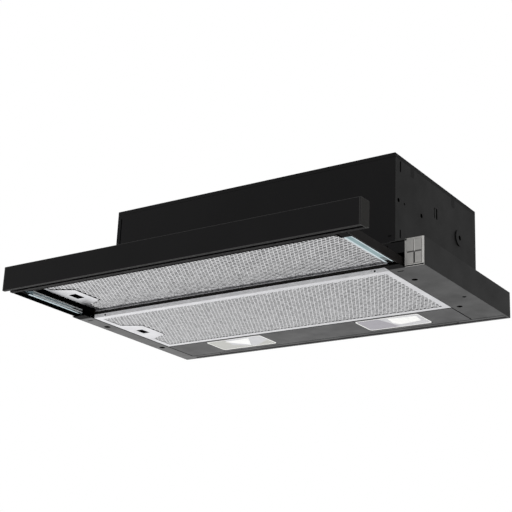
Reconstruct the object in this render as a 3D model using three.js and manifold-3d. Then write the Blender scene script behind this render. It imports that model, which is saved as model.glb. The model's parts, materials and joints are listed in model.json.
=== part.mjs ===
// Pull-out range hood for a 60 cm wall cabinet, drawn with its drawer pulled out.
// Millimetres. +X is to the right, +Y goes back to the wall and +Z is up.
// The pieces are drawn about the middle of the lower frame's front bottom edge, and the last
// lines move them so that the origin lies under the middle of the whole hood, on its underside.

import * as THREE from "three";
import { mergeVertices } from "three/addons/utils/BufferGeometryUtils.js";
import Module from "manifold-3d";

const wasm = await Module();
wasm.setup();

// ---------------------------------------------------------------------------------------------
// Driving sizes
// ---------------------------------------------------------------------------------------------

// Fits between pieces
const SEAT_GAP = 0.3; // between a piece and what carries or guides it
const RUN_GAP = 1; // between the drawer's side and the frame's side wall

// Lower frame
const FRAME_WIDTH = 598;
const FRAME_DEPTH = 280;
const FRAME_HEIGHT = 39.5;
const FRAME_SHEET = 1;
const LEFT_FLANGE = 25; // underside to the left of the filter opening
const RIGHT_FLANGE = 53; // underside to the right of it
const REAR_STRIP = 18; // underside behind the lamp panel
const CORNER_TRIM_DEPTH = 2.2;
const CORNER_TRIM_TONGUE = 16; // how far its tongue reaches out under the slide
const SCREW_HOLE_RADIUS = 4; // countersinks of the screws that hold the slides
const SCREW_HOLES = [52.5, 193.5]; // behind the frame's front edge
const SLIDE_SCREW_REACH = 9.6; // from the drawer's outer wall to the screws that hold a slide
const CABINET_HOLE_RADIUS = 3;
const CABINET_HOLE_Y = 153.5;
const CABINET_HOLE_FROM_SIDE = 15;
const FLANGE_SLOT = [9.5, 2.6]; // width and depth of a slot near the front edge
const FLANGE_SLOT_Y = 12;
const STRIP_HOLE_RADIUS = 3;
const STRIP_HOLE_SPREAD = 438; // between the two holes in the rear strip

// Upper casing
const LEDGE_WIDTH = 51; // the frame's ledge on each side of the casing
const CASING_SETBACK = 14; // from the frame's front edge to the casing's front panel
const CASING_REAR_GAP = 6; // from the casing's rear panel to the frame's rear edge
const CASING_TOP = 175;
const CASING_SHEET = 0.8;
const CASING_FLANGE = 12; // folded edges that join the panels
const TOP_LIP = 6; // the top panel's folded-down edge
const TOP_JOGGLE = 7; // how far a side panel's offset edge reaches down behind the lip
// Holes punched in both side panels. A slot is [front, rear, bottom, top], and a round hole is
// [distance behind the frame's front edge, radius], all at the same height.
const SIDE_SLOTS = [
  [27.5, 31, 151, 167],
  [27.5, 31, 54, 66],
  [133, 143, 118, 134],
];
const SIDE_HOLES = [
  [24, 3.2],
  [41, 2],
  [93, 3.4],
];
const SIDE_HOLE_Z = 107.5;

// Drawer
const DRAWER_TRAVEL = 144.5;
const CLOSED_GAP = 2.5; // between the fascia and the frame when the drawer is shut
const FASCIA_HEIGHT = 36.5;
const FASCIA_THICKNESS = 21;
const FASCIA_WALL = 1.5;
const FASCIA_NOSE = 5; // solid front edge of the fascia's underside
const FASCIA_GROOVE_WIDTH = 10.5;
const FASCIA_GROOVE_DEPTH = 8;
const FASCIA_HEEL = 2; // underside behind the groove, above the front edge
const END_CAP = 2;
const END_CAP_PLUG = 6;
const CONTROL_GAP = 2.4; // between the drawer and the push-button control
const LEFT_CHANNEL_WIDTH = 23; // outside
const RIGHT_CHANNEL_WIDTH = 17.4;
const CHANNEL_SHEET = 1;
const CHANNEL_OUTER_BOTTOM = 1.6;
const CHANNEL_WEB = 13; // underside of the shelf above the slides
const LEFT_CHANNEL_LIP = 5; // how far its inner wall reaches down below the shelf
const CROSSBAR_DEPTH = 12;
const CROSSBAR_BOTTOM = 7.3;
const FRONT_RAIL_DEPTH = 4.6;
const FRONT_RAIL_BOTTOM = 2;

// Telescopic slides, which lie on edge under the shelves of the drawer's side channels
const SLIDE_HEIGHT = 10.2;
const SLIDE_DEPTH = 11.7; // of the drawer member
const SLIDE_STANDOFF = 2.9; // from the drawer's outer wall to the drawer member
const SLIDE_WALL = 1.2;
const SLIDE_LIP = 1;
const FIXED_LENGTH = 245;
const DRAWER_MEMBER_LENGTH = 220;
const DRAWER_MEMBER_START = 25; // behind the fascia
const MIDDLE_LENGTH = 180;
const MIDDLE_REACH = 3; // how far the middle member stands out in front of the frame
const SLIDE_START = 5; // from the frame's front edge to the fixed member
const FIXED_FOOT_SHEET = 0.9;

// Grease filters
const FILTER_HEIGHT = 6;
const FILTER_SHEET = 1;
const FILTER_RIM = 10;
const FILTER_TOP_RIM = 6;
const FRONT_FILTER_BOTTOM = 13;
const FRONT_FILTER_START = 12; // behind the fascia
const FRONT_FILTER_TAB_GAP = 4.2; // to the drawer's right channel, which the tabs bridge
const FRONT_FILTER_LATCH_GAP = 6; // to the drawer's left channel, which the latch bridges
const FRONT_FILTER_LIP = 3.5; // the rear edge is folded down by this much
const FRONT_FILTER_LIP_DEPTH = 4;
const REAR_FILTER_FRONT = 4.5; // from the frame's front edge
const REAR_FILTER_TAB_GAP = 1; // to the opening's right edge
const REAR_FILTER_LATCH_GAP = 2; // to the opening's left edge
const REAR_FILTER_REAR_GAP = 2.5; // to the lamp panel
const MESH_THICKNESS = 1.2;
const FILTER_TAB_WIDTH = 20;
const FILTER_TAB_LENGTH = 3.9;
const FILTER_TAB_HEIGHT = 1;
const DRAIN_HOLE_RADIUS = 1.5;
const DRAIN_HOLE_INSET = 22;
const LATCH_PLATE_REACH = 32; // from the rim's inner edge
const LATCH_PLATE_LONG = 86;
const LATCH_PLATE_SHORT = 56;
const LATCH_OPENING_WIDTH = 12;
const LATCH_OPENING_LENGTH = 19;
const LATCH_OPENING_INSET = 10.5; // from the rim's inner edge to the opening's centre
const LATCH_TRAVEL = 4;

// Lamps
const LAMP_PANEL_DEPTH = 66;
const LAMP_LENGTH = 107;
const LAMP_DEPTH = 53;
const LAMP_PITCH = 280; // between the two lamps' centres
const LAMP_REAR_MARGIN = 9; // from the lamp panel's rear edge
const LAMP_OFFSET = 7; // the lamps' middle, to the right of the filter opening's middle
const LAMP_LENS = 2;
const LAMP_HOUSING_HEIGHT = 14;
const LAMP_HOUSING_BORDER = 2.5;
const LAMP_HOUSING_WALL = 1.2;
const LAMP_PANEL_UPSTAND = 12;
const LAMP_PANEL_HOOK = 9; // how far the rear edge lies on the strip behind it

// Push-button control
const CONTROL_WIDTH = 28;
const CONTROL_DEPTH = 90;
const CONTROL_WALL = 1.5;
const BEZEL_THICKNESS = 1.5;
const BEZEL_BORDER = 3;
const BEZEL_BAR = 1.4;
const BUTTON_PROUD = 0.7; // stands out of the bezel
const BUTTON_TRAVEL = 2.2;
const BUTTON_DEPTH = 8;
const BUTTON_STEM = 3;
const BUTTON_STEM_WIDTH = 4;
const BOARD_THICKNESS = 1.6;

// Drawer switch at the back of the right rail
const SWITCH_LENGTH = 20;
const SWITCH_WIDTH = 14;
const SWITCH_HEIGHT = 8;
const SWITCH_BOTTOM = 10;
const PLUNGER_SIZE = 4;
const PLUNGER_PROUD = 4.2; // stands out of the switch, towards the drawer
const PLUNGER_TRAVEL = 2;

// Outlet collar and its flaps
const OUTLET_RADIUS = 60; // outside of the collar
const OUTLET_WALL = 1.5;
const OUTLET_HEIGHT = 28;
const OUTLET_FLANGE = 10;
const OUTLET_FLANGE_THICKNESS = 1.5;
const FLAP_HEIGHT = 15; // the flaps' hinge above the casing's top
const FLAP_THICKNESS = 1.2;
const FLAP_EDGE_GAP = 1.2;
const FLAP_PIN_RADIUS = 1.5;
const KNUCKLE_WALL = 1.1;
const KNUCKLE_LENGTH = 12;
const STOP_RING_WIDTH = 3;
const STOP_RING_HEIGHT = 2;

// Blower
const IMPELLER_RADIUS = 50;
const IMPELLER_LENGTH = 96;
const BLADE_COUNT = 28;
const BLADE_DEPTH = 8;
const BLADE_THICKNESS = 1.2;
const IMPELLER_RING = 3;
const IMPELLER_DISC = 3;
const HUB_RADIUS = 10;
const HUB_REACH = 14; // to the left of the disc's middle
const SHAFT_RADIUS = 4;
const SHAFT_REACH = 16; // to the left of the disc's middle
const SHAFT_IN_MOTOR = 24;
const SCROLL_START = 54;
const SCROLL_GROWTH = 11;
const SCROLL_WALL = 2;
const SCROLL_HEADROOM = 6.2; // between the scroll's widest radius and the casing's top
const SCROLL_SIDE_GAP = 8; // between the impeller's end and the scroll's side
const NECK_FOOT = 17; // the outlet neck's foot above the fan's axis
const INLET_RADIUS = 41;
const NECK_BORDER = 8; // the outlet neck's flange
const MOTOR_RADIUS = 30;
const MOTOR_LENGTH = 70;
const MOTOR_START = 10; // to the right of the disc's middle
const MOTOR_BOSS = 4; // the bearing bosses stand out by this at both ends
const BRACKET_THICKNESS = 3;
const BRACKET_RING = 5;
const BRACKET_ARM = 8;
const BRACKET_REST = 2; // the bracket's outer ring round the inlet

// Electrics
const BOX_WIDTH = 46;
const BOX_DEPTH = 76;
const BOX_HEIGHT = 70;
const BOX_WALL = 2;
const BOX_BOTTOM = 62;
const BOX_OFFSET = 4; // the box's middle, behind the grommet
const CABLE_NOTCH = 20;
const CABLE_NOTCH_START = 10; // from the box's front wall
const CAPACITOR_RADIUS = 14;
const CAPACITOR_LENGTH = 56;
const CAPACITOR_START = 11; // from the box's front wall
const DRIVER_LENGTH = 80;
const DRIVER_DEPTH = 24;
const DRIVER_HEIGHT = 32;
const DRIVER_BOTTOM = 60;
const GROMMET_FROM_REAR = 59; // from the casing's rear panel
const GROMMET_Z = 113;
const GROMMET_RADIUS = 12.5;
const GROMMET_SLEEVE = 9;
const GROMMET_BORE = 4;
const GROMMET_PROUD = 1.5;
const CABLE_RADIUS = 2.5;
const CONTROL_CABLE_Z = 26;

// ---------------------------------------------------------------------------------------------
// Sizes that follow from them
// ---------------------------------------------------------------------------------------------

const frameLeft = -FRAME_WIDTH / 2;
const frameRight = FRAME_WIDTH / 2;
const openingLeft = frameLeft + LEFT_FLANGE;
const openingRight = frameRight - RIGHT_FLANGE;
const openingRear = FRAME_DEPTH - REAR_STRIP;

const casingLeft = frameLeft + LEDGE_WIDTH;
const casingRight = frameRight - LEDGE_WIDTH;
const casingFront = CASING_SETBACK;
const casingRear = FRAME_DEPTH - CASING_REAR_GAP;
const casingFoot = FRAME_HEIGHT - FRAME_SHEET;
const frontPanelBottom = FRAME_HEIGHT + SEAT_GAP;
const sideTop = CASING_TOP - TOP_LIP; // top of a side panel's outer sheet

const fasciaRear = -DRAWER_TRAVEL - CLOSED_GAP;
const fasciaFront = fasciaRear - FASCIA_THICKNESS;
const drawerLeft = frameLeft + FRAME_SHEET + RUN_GAP;
const controlLeft = frameRight - CONTROL_WIDTH;
const drawerRight = controlLeft - CONTROL_GAP;
const switchRear = FRAME_DEPTH - FRAME_SHEET;
const switchFront = switchRear - SWITCH_LENGTH;
const plungerFront = switchFront - PLUNGER_PROUD;
const channelRear = plungerFront - SEAT_GAP - DRAWER_TRAVEL; // the channel just reaches the plunger when shut
const drawerInnerLeft = drawerLeft + LEFT_CHANNEL_WIDTH;
const drawerInnerRight = drawerRight - RIGHT_CHANNEL_WIDTH;
const drawerShelf = CHANNEL_WEB + CHANNEL_SHEET;
const drawerTop = FRONT_FILTER_BOTTOM + FILTER_HEIGHT + SEAT_GAP + CHANNEL_SHEET;

const frontFilterRight = drawerInnerRight - FRONT_FILTER_TAB_GAP;
const frontFilterLeft = drawerInnerLeft + FRONT_FILTER_LATCH_GAP;
const frontFilterFront = fasciaRear + FRONT_FILTER_START;
const frontFilterRear = REAR_FILTER_FRONT - SEAT_GAP;
const rearFilterRight = openingRight - REAR_FILTER_TAB_GAP;
const rearFilterLeft = openingLeft + REAR_FILTER_LATCH_GAP;

const lampPanelRear = openingRear - RUN_GAP / 2;
const lampPanelFront = lampPanelRear - LAMP_PANEL_DEPTH;
const rearFilterRear = lampPanelFront - REAR_FILTER_REAR_GAP;

const crossbarFront = REAR_FILTER_FRONT;
const outletY = (casingFront + casingRear) / 2;
const grommetY = casingRear - GROMMET_FROM_REAR;
const outletTop = CASING_TOP + OUTLET_HEIGHT;
const boxRight = casingRight - CASING_SHEET;
const casingInnerTop = CASING_TOP - CASING_SHEET;
const fanZ = casingInnerTop - SCROLL_START - SCROLL_GROWTH - SCROLL_HEADROOM;

// ---------------------------------------------------------------------------------------------
// Solids
// ---------------------------------------------------------------------------------------------

// Turns a closed geometry into a solid that can be joined and cut.
function toSolid(geometry) {
  geometry.deleteAttribute("normal");
  geometry.deleteAttribute("uv");
  const merged = mergeVertices(geometry, 1e-4);
  const vertProperties = new Float32Array(merged.attributes.position.array);
  const triVerts = new Uint32Array(merged.index.array);
  return new wasm.Manifold(new wasm.Mesh({ numProp: 3, vertProperties, triVerts }));
}

function toGeometry(solid) {
  const mesh = solid.getMesh();
  const geometry = new THREE.BufferGeometry();
  geometry.setAttribute("position", new THREE.BufferAttribute(mesh.vertProperties, 3));
  geometry.setIndex(new THREE.BufferAttribute(mesh.triVerts, 1));
  geometry.computeVertexNormals();
  return geometry;
}

// A block between two x, two y and two z values.
function block([x0, x1], [y0, y1], [z0, z1]) {
  const geometry = new THREE.BoxGeometry(x1 - x0, y1 - y0, z1 - z0);
  geometry.translate((x0 + x1) / 2, (y0 + y1) / 2, (z0 + z1) / 2);
  return toSolid(geometry);
}

// Turns a shape drawn in two axes, and pushed out along the third, into place.
// Along "x" the outline is in y and z, along "y" in x and z, and along "z" in x and y.
function pushedOut(shape, axis, from, to) {
  const geometry = new THREE.ExtrudeGeometry(shape, { depth: to - from, bevelEnabled: false });
  const place = new THREE.Matrix4();
  if (axis === "x") {
    place.set(0, 0, 1, from, 1, 0, 0, 0, 0, 1, 0, 0, 0, 0, 0, 1);
  } else if (axis === "y") {
    place.set(1, 0, 0, 0, 0, 0, -1, to, 0, 1, 0, 0, 0, 0, 0, 1);
  } else {
    place.set(1, 0, 0, 0, 0, 1, 0, 0, 0, 0, 1, from, 0, 0, 0, 1);
  }
  geometry.applyMatrix4(place);
  return toSolid(geometry);
}

function prism(axis, from, to, points) {
  const shape = new THREE.Shape(points.map(([u, v]) => new THREE.Vector2(u, v)));
  return pushedOut(shape, axis, from, to);
}

// A round bar along an axis, about the point [u, v] of the two other axes.
function rod(axis, from, to, [u, v], radius, sides = 24) {
  const points = [];
  for (let i = 0; i < sides; i += 1) {
    const angle = (2 * Math.PI * (i + 0.5)) / sides;
    points.push([u + radius * Math.cos(angle), v + radius * Math.sin(angle)]);
  }
  return prism(axis, from, to, points);
}

function ring(axis, from, to, centre, inner, outer, sides = 24) {
  return rod(axis, from, to, centre, outer, sides).subtract(
    rod(axis, from - 1, to + 1, centre, inner, sides),
  );
}

function join(...solids) {
  return solids.reduce((all, solid) => all.add(solid));
}

function cut(solid, ...tools) {
  return tools.reduce((left, tool) => left.subtract(tool), solid);
}

// The same solid on the other side of the plane x = middle.
function mirrored(solid, middle = 0) {
  return solid.mirror([1, 0, 0]).translate([2 * middle, 0, 0]);
}

// ---------------------------------------------------------------------------------------------
// Materials
// ---------------------------------------------------------------------------------------------

function paint(color, roughness, metalness) {
  return () => new THREE.MeshStandardMaterial({ color, roughness, metalness });
}

const blackPaint = paint(0x1d1c1d, 0.42, 0.2);
const sidePaint = paint(0x2c2b2c, 0.55, 0.2);
const drawerPaint = paint(0x252423, 0.5, 0.2);
const lampPaint = paint(0x5e5d60, 0.5, 0.2);
const zinc = paint(0xb8c4c8, 0.35, 0.9);
const darkSteel = paint(0x2a2c2d, 0.4, 0.8);
const aluminium = paint(0xd9d9db, 0.35, 0.7);
const meshAluminium = paint(0xb4b4b6, 0.45, 0.8);
const blackPlastic = paint(0x151515, 0.5, 0);
const greyPlastic = paint(0xb4b2ac, 0.55, 0);
const whitePlastic = paint(0xd8d8d4, 0.6, 0);
const lensPlastic = paint(0xf2f2ee, 0.3, 0);
const motorSteel = paint(0x8b8e90, 0.4, 0.8);
const boardGreen = paint(0x2f6b4a, 0.6, 0);
const rubber = paint(0x1b1b1b, 0.8, 0);

// The scene: each assembly is a group of named pieces.
const hood = new THREE.Group();

function assembly(parent = hood) {
  const group = new THREE.Group();
  parent.add(group);
  return group;
}

function piece(group, name, solid, material, position = [0, 0, 0]) {
  const mesh = new THREE.Mesh(toGeometry(solid), material());
  mesh.name = name;
  mesh.position.set(...position);
  group.add(mesh);
  return mesh;
}

// ---------------------------------------------------------------------------------------------
// Lower frame
// ---------------------------------------------------------------------------------------------

const frame = assembly();

// A rail is a C of folded sheet: underside flange, outer wall and the ledge on top. Beside the
// casing the ledge steps down by its thickness, so that the casing's foot lies on the step.
function railSection(outer, flangeEdge, ledgeEdge, side) {
  const inner = outer - side * FRAME_SHEET;
  const bend = ledgeEdge + side * FRAME_SHEET;
  const stepEdge = ledgeEdge - side * (CASING_SHEET + CASING_FLANGE);
  return [
    [outer, 0],
    [flangeEdge, 0],
    [flangeEdge, FRAME_SHEET],
    [inner, FRAME_SHEET],
    [inner, FRAME_HEIGHT - FRAME_SHEET],
    [bend, FRAME_HEIGHT - FRAME_SHEET],
    [bend, FRAME_HEIGHT - 2 * FRAME_SHEET],
    [stepEdge, FRAME_HEIGHT - 2 * FRAME_SHEET],
    [stepEdge, casingFoot],
    [ledgeEdge, casingFoot],
    [ledgeEdge, FRAME_HEIGHT],
    [outer, FRAME_HEIGHT],
  ];
}

function frameRails() {
  const rear = FRAME_DEPTH - FRAME_SHEET;
  const left = railSection(frameLeft, openingLeft, casingLeft, -1);
  const right = railSection(frameRight, openingRight, casingRight, 1);
  const leftHoles = flangeHoles(drawerLeft + CHANNEL_SHEET + SLIDE_SCREW_REACH);
  const rightHoles = flangeHoles(drawerRight - CHANNEL_SHEET - SLIDE_SCREW_REACH);
  const cabinetHole = floorHole(frameRight - CABINET_HOLE_FROM_SIDE, CABINET_HOLE_Y, CABINET_HOLE_RADIUS);
  piece(frame, "frame_left_rail", cut(prism("y", 0, rear, left), ...leftHoles), sidePaint);
  piece(frame, "frame_right_rail", cut(prism("y", 0, rear, right), ...rightHoles, cabinetHole), sidePaint);
}

// A round cutter through the sheet of the underside.
function floorHole(x, y, radius) {
  return rod("z", -1, FRAME_SHEET + 1, [x, y], radius, 16);
}

// Cutters for the screw holes under a slide and for the slot in front of them.
function flangeHoles(x) {
  const [width, depth] = FLANGE_SLOT;
  const slot = block(
    [x - width / 2, x + width / 2],
    [FLANGE_SLOT_Y - depth / 2, FLANGE_SLOT_Y + depth / 2],
    [-1, FRAME_SHEET + 1],
  );
  return [slot, ...SCREW_HOLES.map((y) => floorHole(x, y, SCREW_HOLE_RADIUS))];
}

// The rear panel closes the frame behind and carries the strip behind the lamp panel.
function frameRearPanel() {
  const back = block([frameLeft, frameRight], [FRAME_DEPTH - FRAME_SHEET, FRAME_DEPTH], [0, FRAME_HEIGHT]);
  const strip = block([openingLeft, openingRight], [openingRear, FRAME_DEPTH], [0, FRAME_SHEET]);
  const ledge = block(
    [casingLeft + CASING_SHEET, casingRight - CASING_SHEET],
    [casingRear - CASING_SHEET, FRAME_DEPTH],
    [FRAME_HEIGHT - FRAME_SHEET, FRAME_HEIGHT],
  );
  const holes = [-1, 1].map((side) =>
    floorHole((side * STRIP_HOLE_SPREAD) / 2, openingRear + REAR_STRIP / 2, STRIP_HOLE_RADIUS),
  );
  piece(frame, "frame_rear_panel", cut(join(back, strip, ledge), ...holes), sidePaint);
}

// The front panel closes the frame above the drawer. Its upper edge fits under the rails' steps,
// and between the steps it is bent back to a ledge, which carries the casing's front panel.
function frameFrontPanel() {
  const left = frameLeft + FRAME_SHEET + SEAT_GAP;
  const right = controlLeft - SEAT_GAP;
  const ledgeLeft = casingLeft + CASING_SHEET + CASING_FLANGE + SEAT_GAP;
  const ledgeRight = casingRight - CASING_SHEET - CASING_FLANGE - SEAT_GAP;
  const shoulder = FRAME_HEIGHT - 2 * FRAME_SHEET - SEAT_GAP;
  const bottom = drawerTop + RUN_GAP;
  const plate = prism("y", 0, FRAME_SHEET, [
    [left, bottom],
    [right, bottom],
    [right, shoulder],
    [ledgeRight, shoulder],
    [ledgeRight, FRAME_HEIGHT],
    [ledgeLeft, FRAME_HEIGHT],
    [ledgeLeft, shoulder],
    [left, shoulder],
  ]);
  const ledge = block(
    [ledgeLeft, ledgeRight],
    [0, casingFront + CASING_FLANGE],
    [FRAME_HEIGHT - FRAME_SHEET, FRAME_HEIGHT],
  );
  piece(frame, "frame_front_panel", join(plate, ledge), blackPaint);
}

// Small plastic trims cover the raw front edges beside the drawer. Each has a tongue that
// reaches out under the slide. The left one covers the rail's whole edge, and the right one
// stands between the drawer and the push-button control.
function frameCornerTrims() {
  const foot = CHANNEL_OUTER_BOTTOM - SEAT_GAP;
  const trim = (flange, riser, top) => join(
    block(flange, [-CORNER_TRIM_TONGUE, 0], [0, foot]),
    block(riser, [-CORNER_TRIM_DEPTH, 0], [0, top]),
  );
  const left = trim([frameLeft, openingLeft], [frameLeft, drawerLeft - SEAT_GAP], FRAME_HEIGHT);
  const rightEdge = controlLeft - SEAT_GAP;
  const right = trim([openingRight, rightEdge], [drawerRight + SEAT_GAP, rightEdge], drawerShelf);
  piece(frame, "frame_corner_trim", left, blackPlastic);
  piece(frame, "frame_corner_trim_right", right, blackPlastic);
}

frameRails();
frameRearPanel();
frameFrontPanel();
frameCornerTrims();

// ---------------------------------------------------------------------------------------------
// Lamp panel and lamps
// ---------------------------------------------------------------------------------------------

const lampCentreX = (openingLeft + openingRight) / 2 + LAMP_OFFSET;
const lampRear = lampPanelRear - LAMP_REAR_MARGIN;
const lampFront = lampRear - LAMP_DEPTH;

function lampBox(centre, border, z) {
  const half = LAMP_LENGTH / 2 + border;
  return block([centre - half, centre + half], [lampFront - border, lampRear + border], z);
}

function lampPanel(centres) {
  const left = openingLeft + RUN_GAP;
  const right = openingRight - RUN_GAP;
  const plate = block([left, right], [lampPanelFront, lampPanelRear], [0, FRAME_SHEET]);
  const upstand = block(
    [left, right],
    [lampPanelFront, lampPanelFront + FRAME_SHEET],
    [0, LAMP_PANEL_UPSTAND],
  );
  // The rear edge is joggled up so that it lies on the strip of the rear panel.
  const hook = block(
    [left + CASING_FLANGE, right - CASING_FLANGE],
    [lampPanelRear - LAMP_REAR_MARGIN / 3, openingRear + LAMP_PANEL_HOOK],
    [FRAME_SHEET, 2 * FRAME_SHEET],
  );
  const holes = centres.map((centre) => lampBox(centre, 0, [-1, FRAME_SHEET + 1]));
  piece(frame, "lamp_panel", cut(join(plate, upstand, hook), ...holes), lampPaint);
}

function lamp(side, centre) {
  const lens = lampBox(centre, -SEAT_GAP, [0, LAMP_LENS]);
  const top = FRAME_SHEET + LAMP_HOUSING_HEIGHT;
  const outside = lampBox(centre, LAMP_HOUSING_BORDER, [FRAME_SHEET, top]);
  const inside = lampBox(centre, 0, [0, top - LAMP_HOUSING_WALL]);
  piece(frame, `lamp_lens_${side}`, lens, lensPlastic);
  piece(frame, `lamp_housing_${side}`, cut(outside, inside), whitePlastic);
}

const lampCentres = [lampCentreX - LAMP_PITCH / 2, lampCentreX + LAMP_PITCH / 2];
lampPanel(lampCentres);
lamp("left", lampCentres[0]);
lamp("right", lampCentres[1]);

// ---------------------------------------------------------------------------------------------
// Upper casing
// ---------------------------------------------------------------------------------------------

const casing = assembly();

// The right side panel. Its sheet stops under the top panel's lip, and an offset edge goes
// on behind the lip. Folded edges join it to the front and rear panels. Its foot hangs inside
// the sheet, down to the step beside the frame's ledge.
function sidePanel(extraHoles) {
  const outer = casingRight;
  const inner = outer - CASING_SHEET;
  const depth = [casingFront + CASING_SHEET, casingRear - CASING_SHEET];
  const sheet = block([inner, outer], depth, [FRAME_HEIGHT, sideTop - SEAT_GAP / 2]);
  const offset = [inner - CASING_SHEET - SEAT_GAP / 2, inner - SEAT_GAP / 2];
  const offsetEdge = block(offset, depth, [sideTop - TOP_JOGGLE, casingInnerTop]);
  const offsetJoin = block([offset[0], outer], depth, [sideTop - TOP_JOGGLE, sideTop - SEAT_GAP]);
  const foldFront = block(
    [inner - CASING_FLANGE, outer],
    [depth[0], depth[0] + CASING_SHEET],
    [FRAME_HEIGHT + CASING_FLANGE, sideTop - TOP_JOGGLE],
  );
  const foldRear = block(
    [inner - CASING_FLANGE, outer],
    [depth[1] - CASING_SHEET, depth[1]],
    [FRAME_HEIGHT, sideTop - TOP_JOGGLE],
  );
  const footDepth = [depth[0] + CASING_FLANGE, depth[1] - CASING_FLANGE];
  const footWeb = block(
    [inner - CASING_SHEET, inner + CASING_SHEET / 2],
    footDepth,
    [casingFoot, FRAME_HEIGHT + CASING_FLANGE],
  );
  const foot = block([inner - CASING_FLANGE, inner], footDepth, [casingFoot, casingFoot + CASING_SHEET]);
  const body = join(sheet, offsetEdge, offsetJoin, foldFront, foldRear, footWeb, foot);
  const slots = SIDE_SLOTS.map(([y0, y1, z0, z1]) =>
    block([inner - 1, outer + 1], [y0, y1], [z0, z1]),
  );
  const holes = SIDE_HOLES.map(([y, radius]) =>
    rod("x", inner - 1, outer + 1, [y, SIDE_HOLE_Z], radius, 12),
  );
  return cut(body, ...slots, ...holes, ...extraHoles);
}

function sidePanels() {
  const grommetHole = rod(
    "x",
    boxRight - 1,
    casingRight + 1,
    [grommetY, GROMMET_Z],
    GROMMET_SLEEVE + SEAT_GAP,
    20,
  );
  piece(casing, "casing_right_side", sidePanel([grommetHole]), sidePaint);
  piece(casing, "casing_left_side", mirrored(sidePanel([])), sidePaint);
}

function frontPanel() {
  const depth = [casingFront, casingFront + CASING_SHEET];
  const sheet = block([casingLeft, casingRight], depth, [frontPanelBottom, sideTop - SEAT_GAP / 2]);
  const tongue = block(
    [casingLeft + CASING_FLANGE, casingRight - CASING_FLANGE],
    [depth[1], depth[1] + CASING_SHEET],
    [sideTop - TOP_JOGGLE, casingInnerTop],
  );
  const fold = block(
    [casingLeft + CASING_FLANGE, casingRight - CASING_FLANGE],
    [depth[0], depth[0] + CASING_FLANGE],
    [frontPanelBottom, frontPanelBottom + CASING_SHEET],
  );
  piece(casing, "casing_front_panel", join(sheet, tongue, fold), blackPaint);
}

function rearPanel() {
  const depth = [casingRear - CASING_SHEET, casingRear];
  const sheet = block([casingLeft, casingRight], depth, [FRAME_HEIGHT, sideTop - SEAT_GAP / 2]);
  const tongue = block(
    [casingLeft + CASING_FLANGE, casingRight - CASING_FLANGE],
    [depth[0] - CASING_SHEET, depth[0]],
    [sideTop - TOP_JOGGLE, casingInnerTop],
  );
  piece(casing, "casing_rear_panel", join(sheet, tongue), sidePaint);
}

function topPanel() {
  const plate = block([casingLeft, casingRight], [casingFront, casingRear], [casingInnerTop, CASING_TOP]);
  const skirt = block([casingLeft, casingRight], [casingFront, casingRear], [sideTop, casingInnerTop]);
  const inside = block(
    [casingLeft + CASING_SHEET, casingRight - CASING_SHEET],
    [casingFront + CASING_SHEET, casingRear - CASING_SHEET],
    [sideTop - 1, casingInnerTop],
  );
  const hole = rod(
    "z",
    sideTop,
    CASING_TOP + 1,
    [0, outletY],
    OUTLET_RADIUS - OUTLET_WALL,
    40,
  );
  piece(casing, "casing_top_panel", cut(join(plate, skirt), inside, hole), sidePaint);
}

sidePanels();
frontPanel();
rearPanel();
topPanel();

// ---------------------------------------------------------------------------------------------
// Outlet collar, hinge pin and the two non-return flaps
// ---------------------------------------------------------------------------------------------

const flapZ = CASING_TOP + FLAP_HEIGHT;
const collarInside = OUTLET_RADIUS - OUTLET_WALL;
const knuckleRadius = FLAP_PIN_RADIUS + SEAT_GAP + KNUCKLE_WALL;

// A collar turned about its axis: flange at the foot, and a ring that the flaps rest on.
function outletCollar() {
  const stopTop = flapZ - FLAP_THICKNESS / 2 - SEAT_GAP;
  const profile = [
    [collarInside, CASING_TOP],
    [OUTLET_RADIUS + OUTLET_FLANGE, CASING_TOP],
    [OUTLET_RADIUS + OUTLET_FLANGE, CASING_TOP + OUTLET_FLANGE_THICKNESS],
    [OUTLET_RADIUS, CASING_TOP + OUTLET_FLANGE_THICKNESS],
    [OUTLET_RADIUS, outletTop],
    [collarInside, outletTop],
    [collarInside, stopTop],
    [collarInside - STOP_RING_WIDTH, stopTop],
    [collarInside - STOP_RING_WIDTH, stopTop - STOP_RING_HEIGHT],
    [collarInside, stopTop - STOP_RING_HEIGHT],
    [collarInside, CASING_TOP],
  ];
  const points = profile.map(([radius, height]) => new THREE.Vector2(radius, height));
  const geometry = new THREE.LatheGeometry(points, 40);
  geometry.rotateX(Math.PI / 2);
  geometry.translate(0, outletY, 0);
  const turned = toSolid(geometry);
  // The stop ring is notched where the flaps' knuckles would meet it.
  const notch = block(
    [-knuckleRadius - SEAT_GAP, knuckleRadius + SEAT_GAP],
    [outletY - collarInside + SEAT_GAP, outletY + collarInside - SEAT_GAP],
    [stopTop - STOP_RING_HEIGHT - 1, stopTop + 1],
  );
  piece(casing, "outlet_collar", cut(turned, notch), whitePlastic);
}

const flapRadius = collarInside - FLAP_EDGE_GAP;

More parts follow.
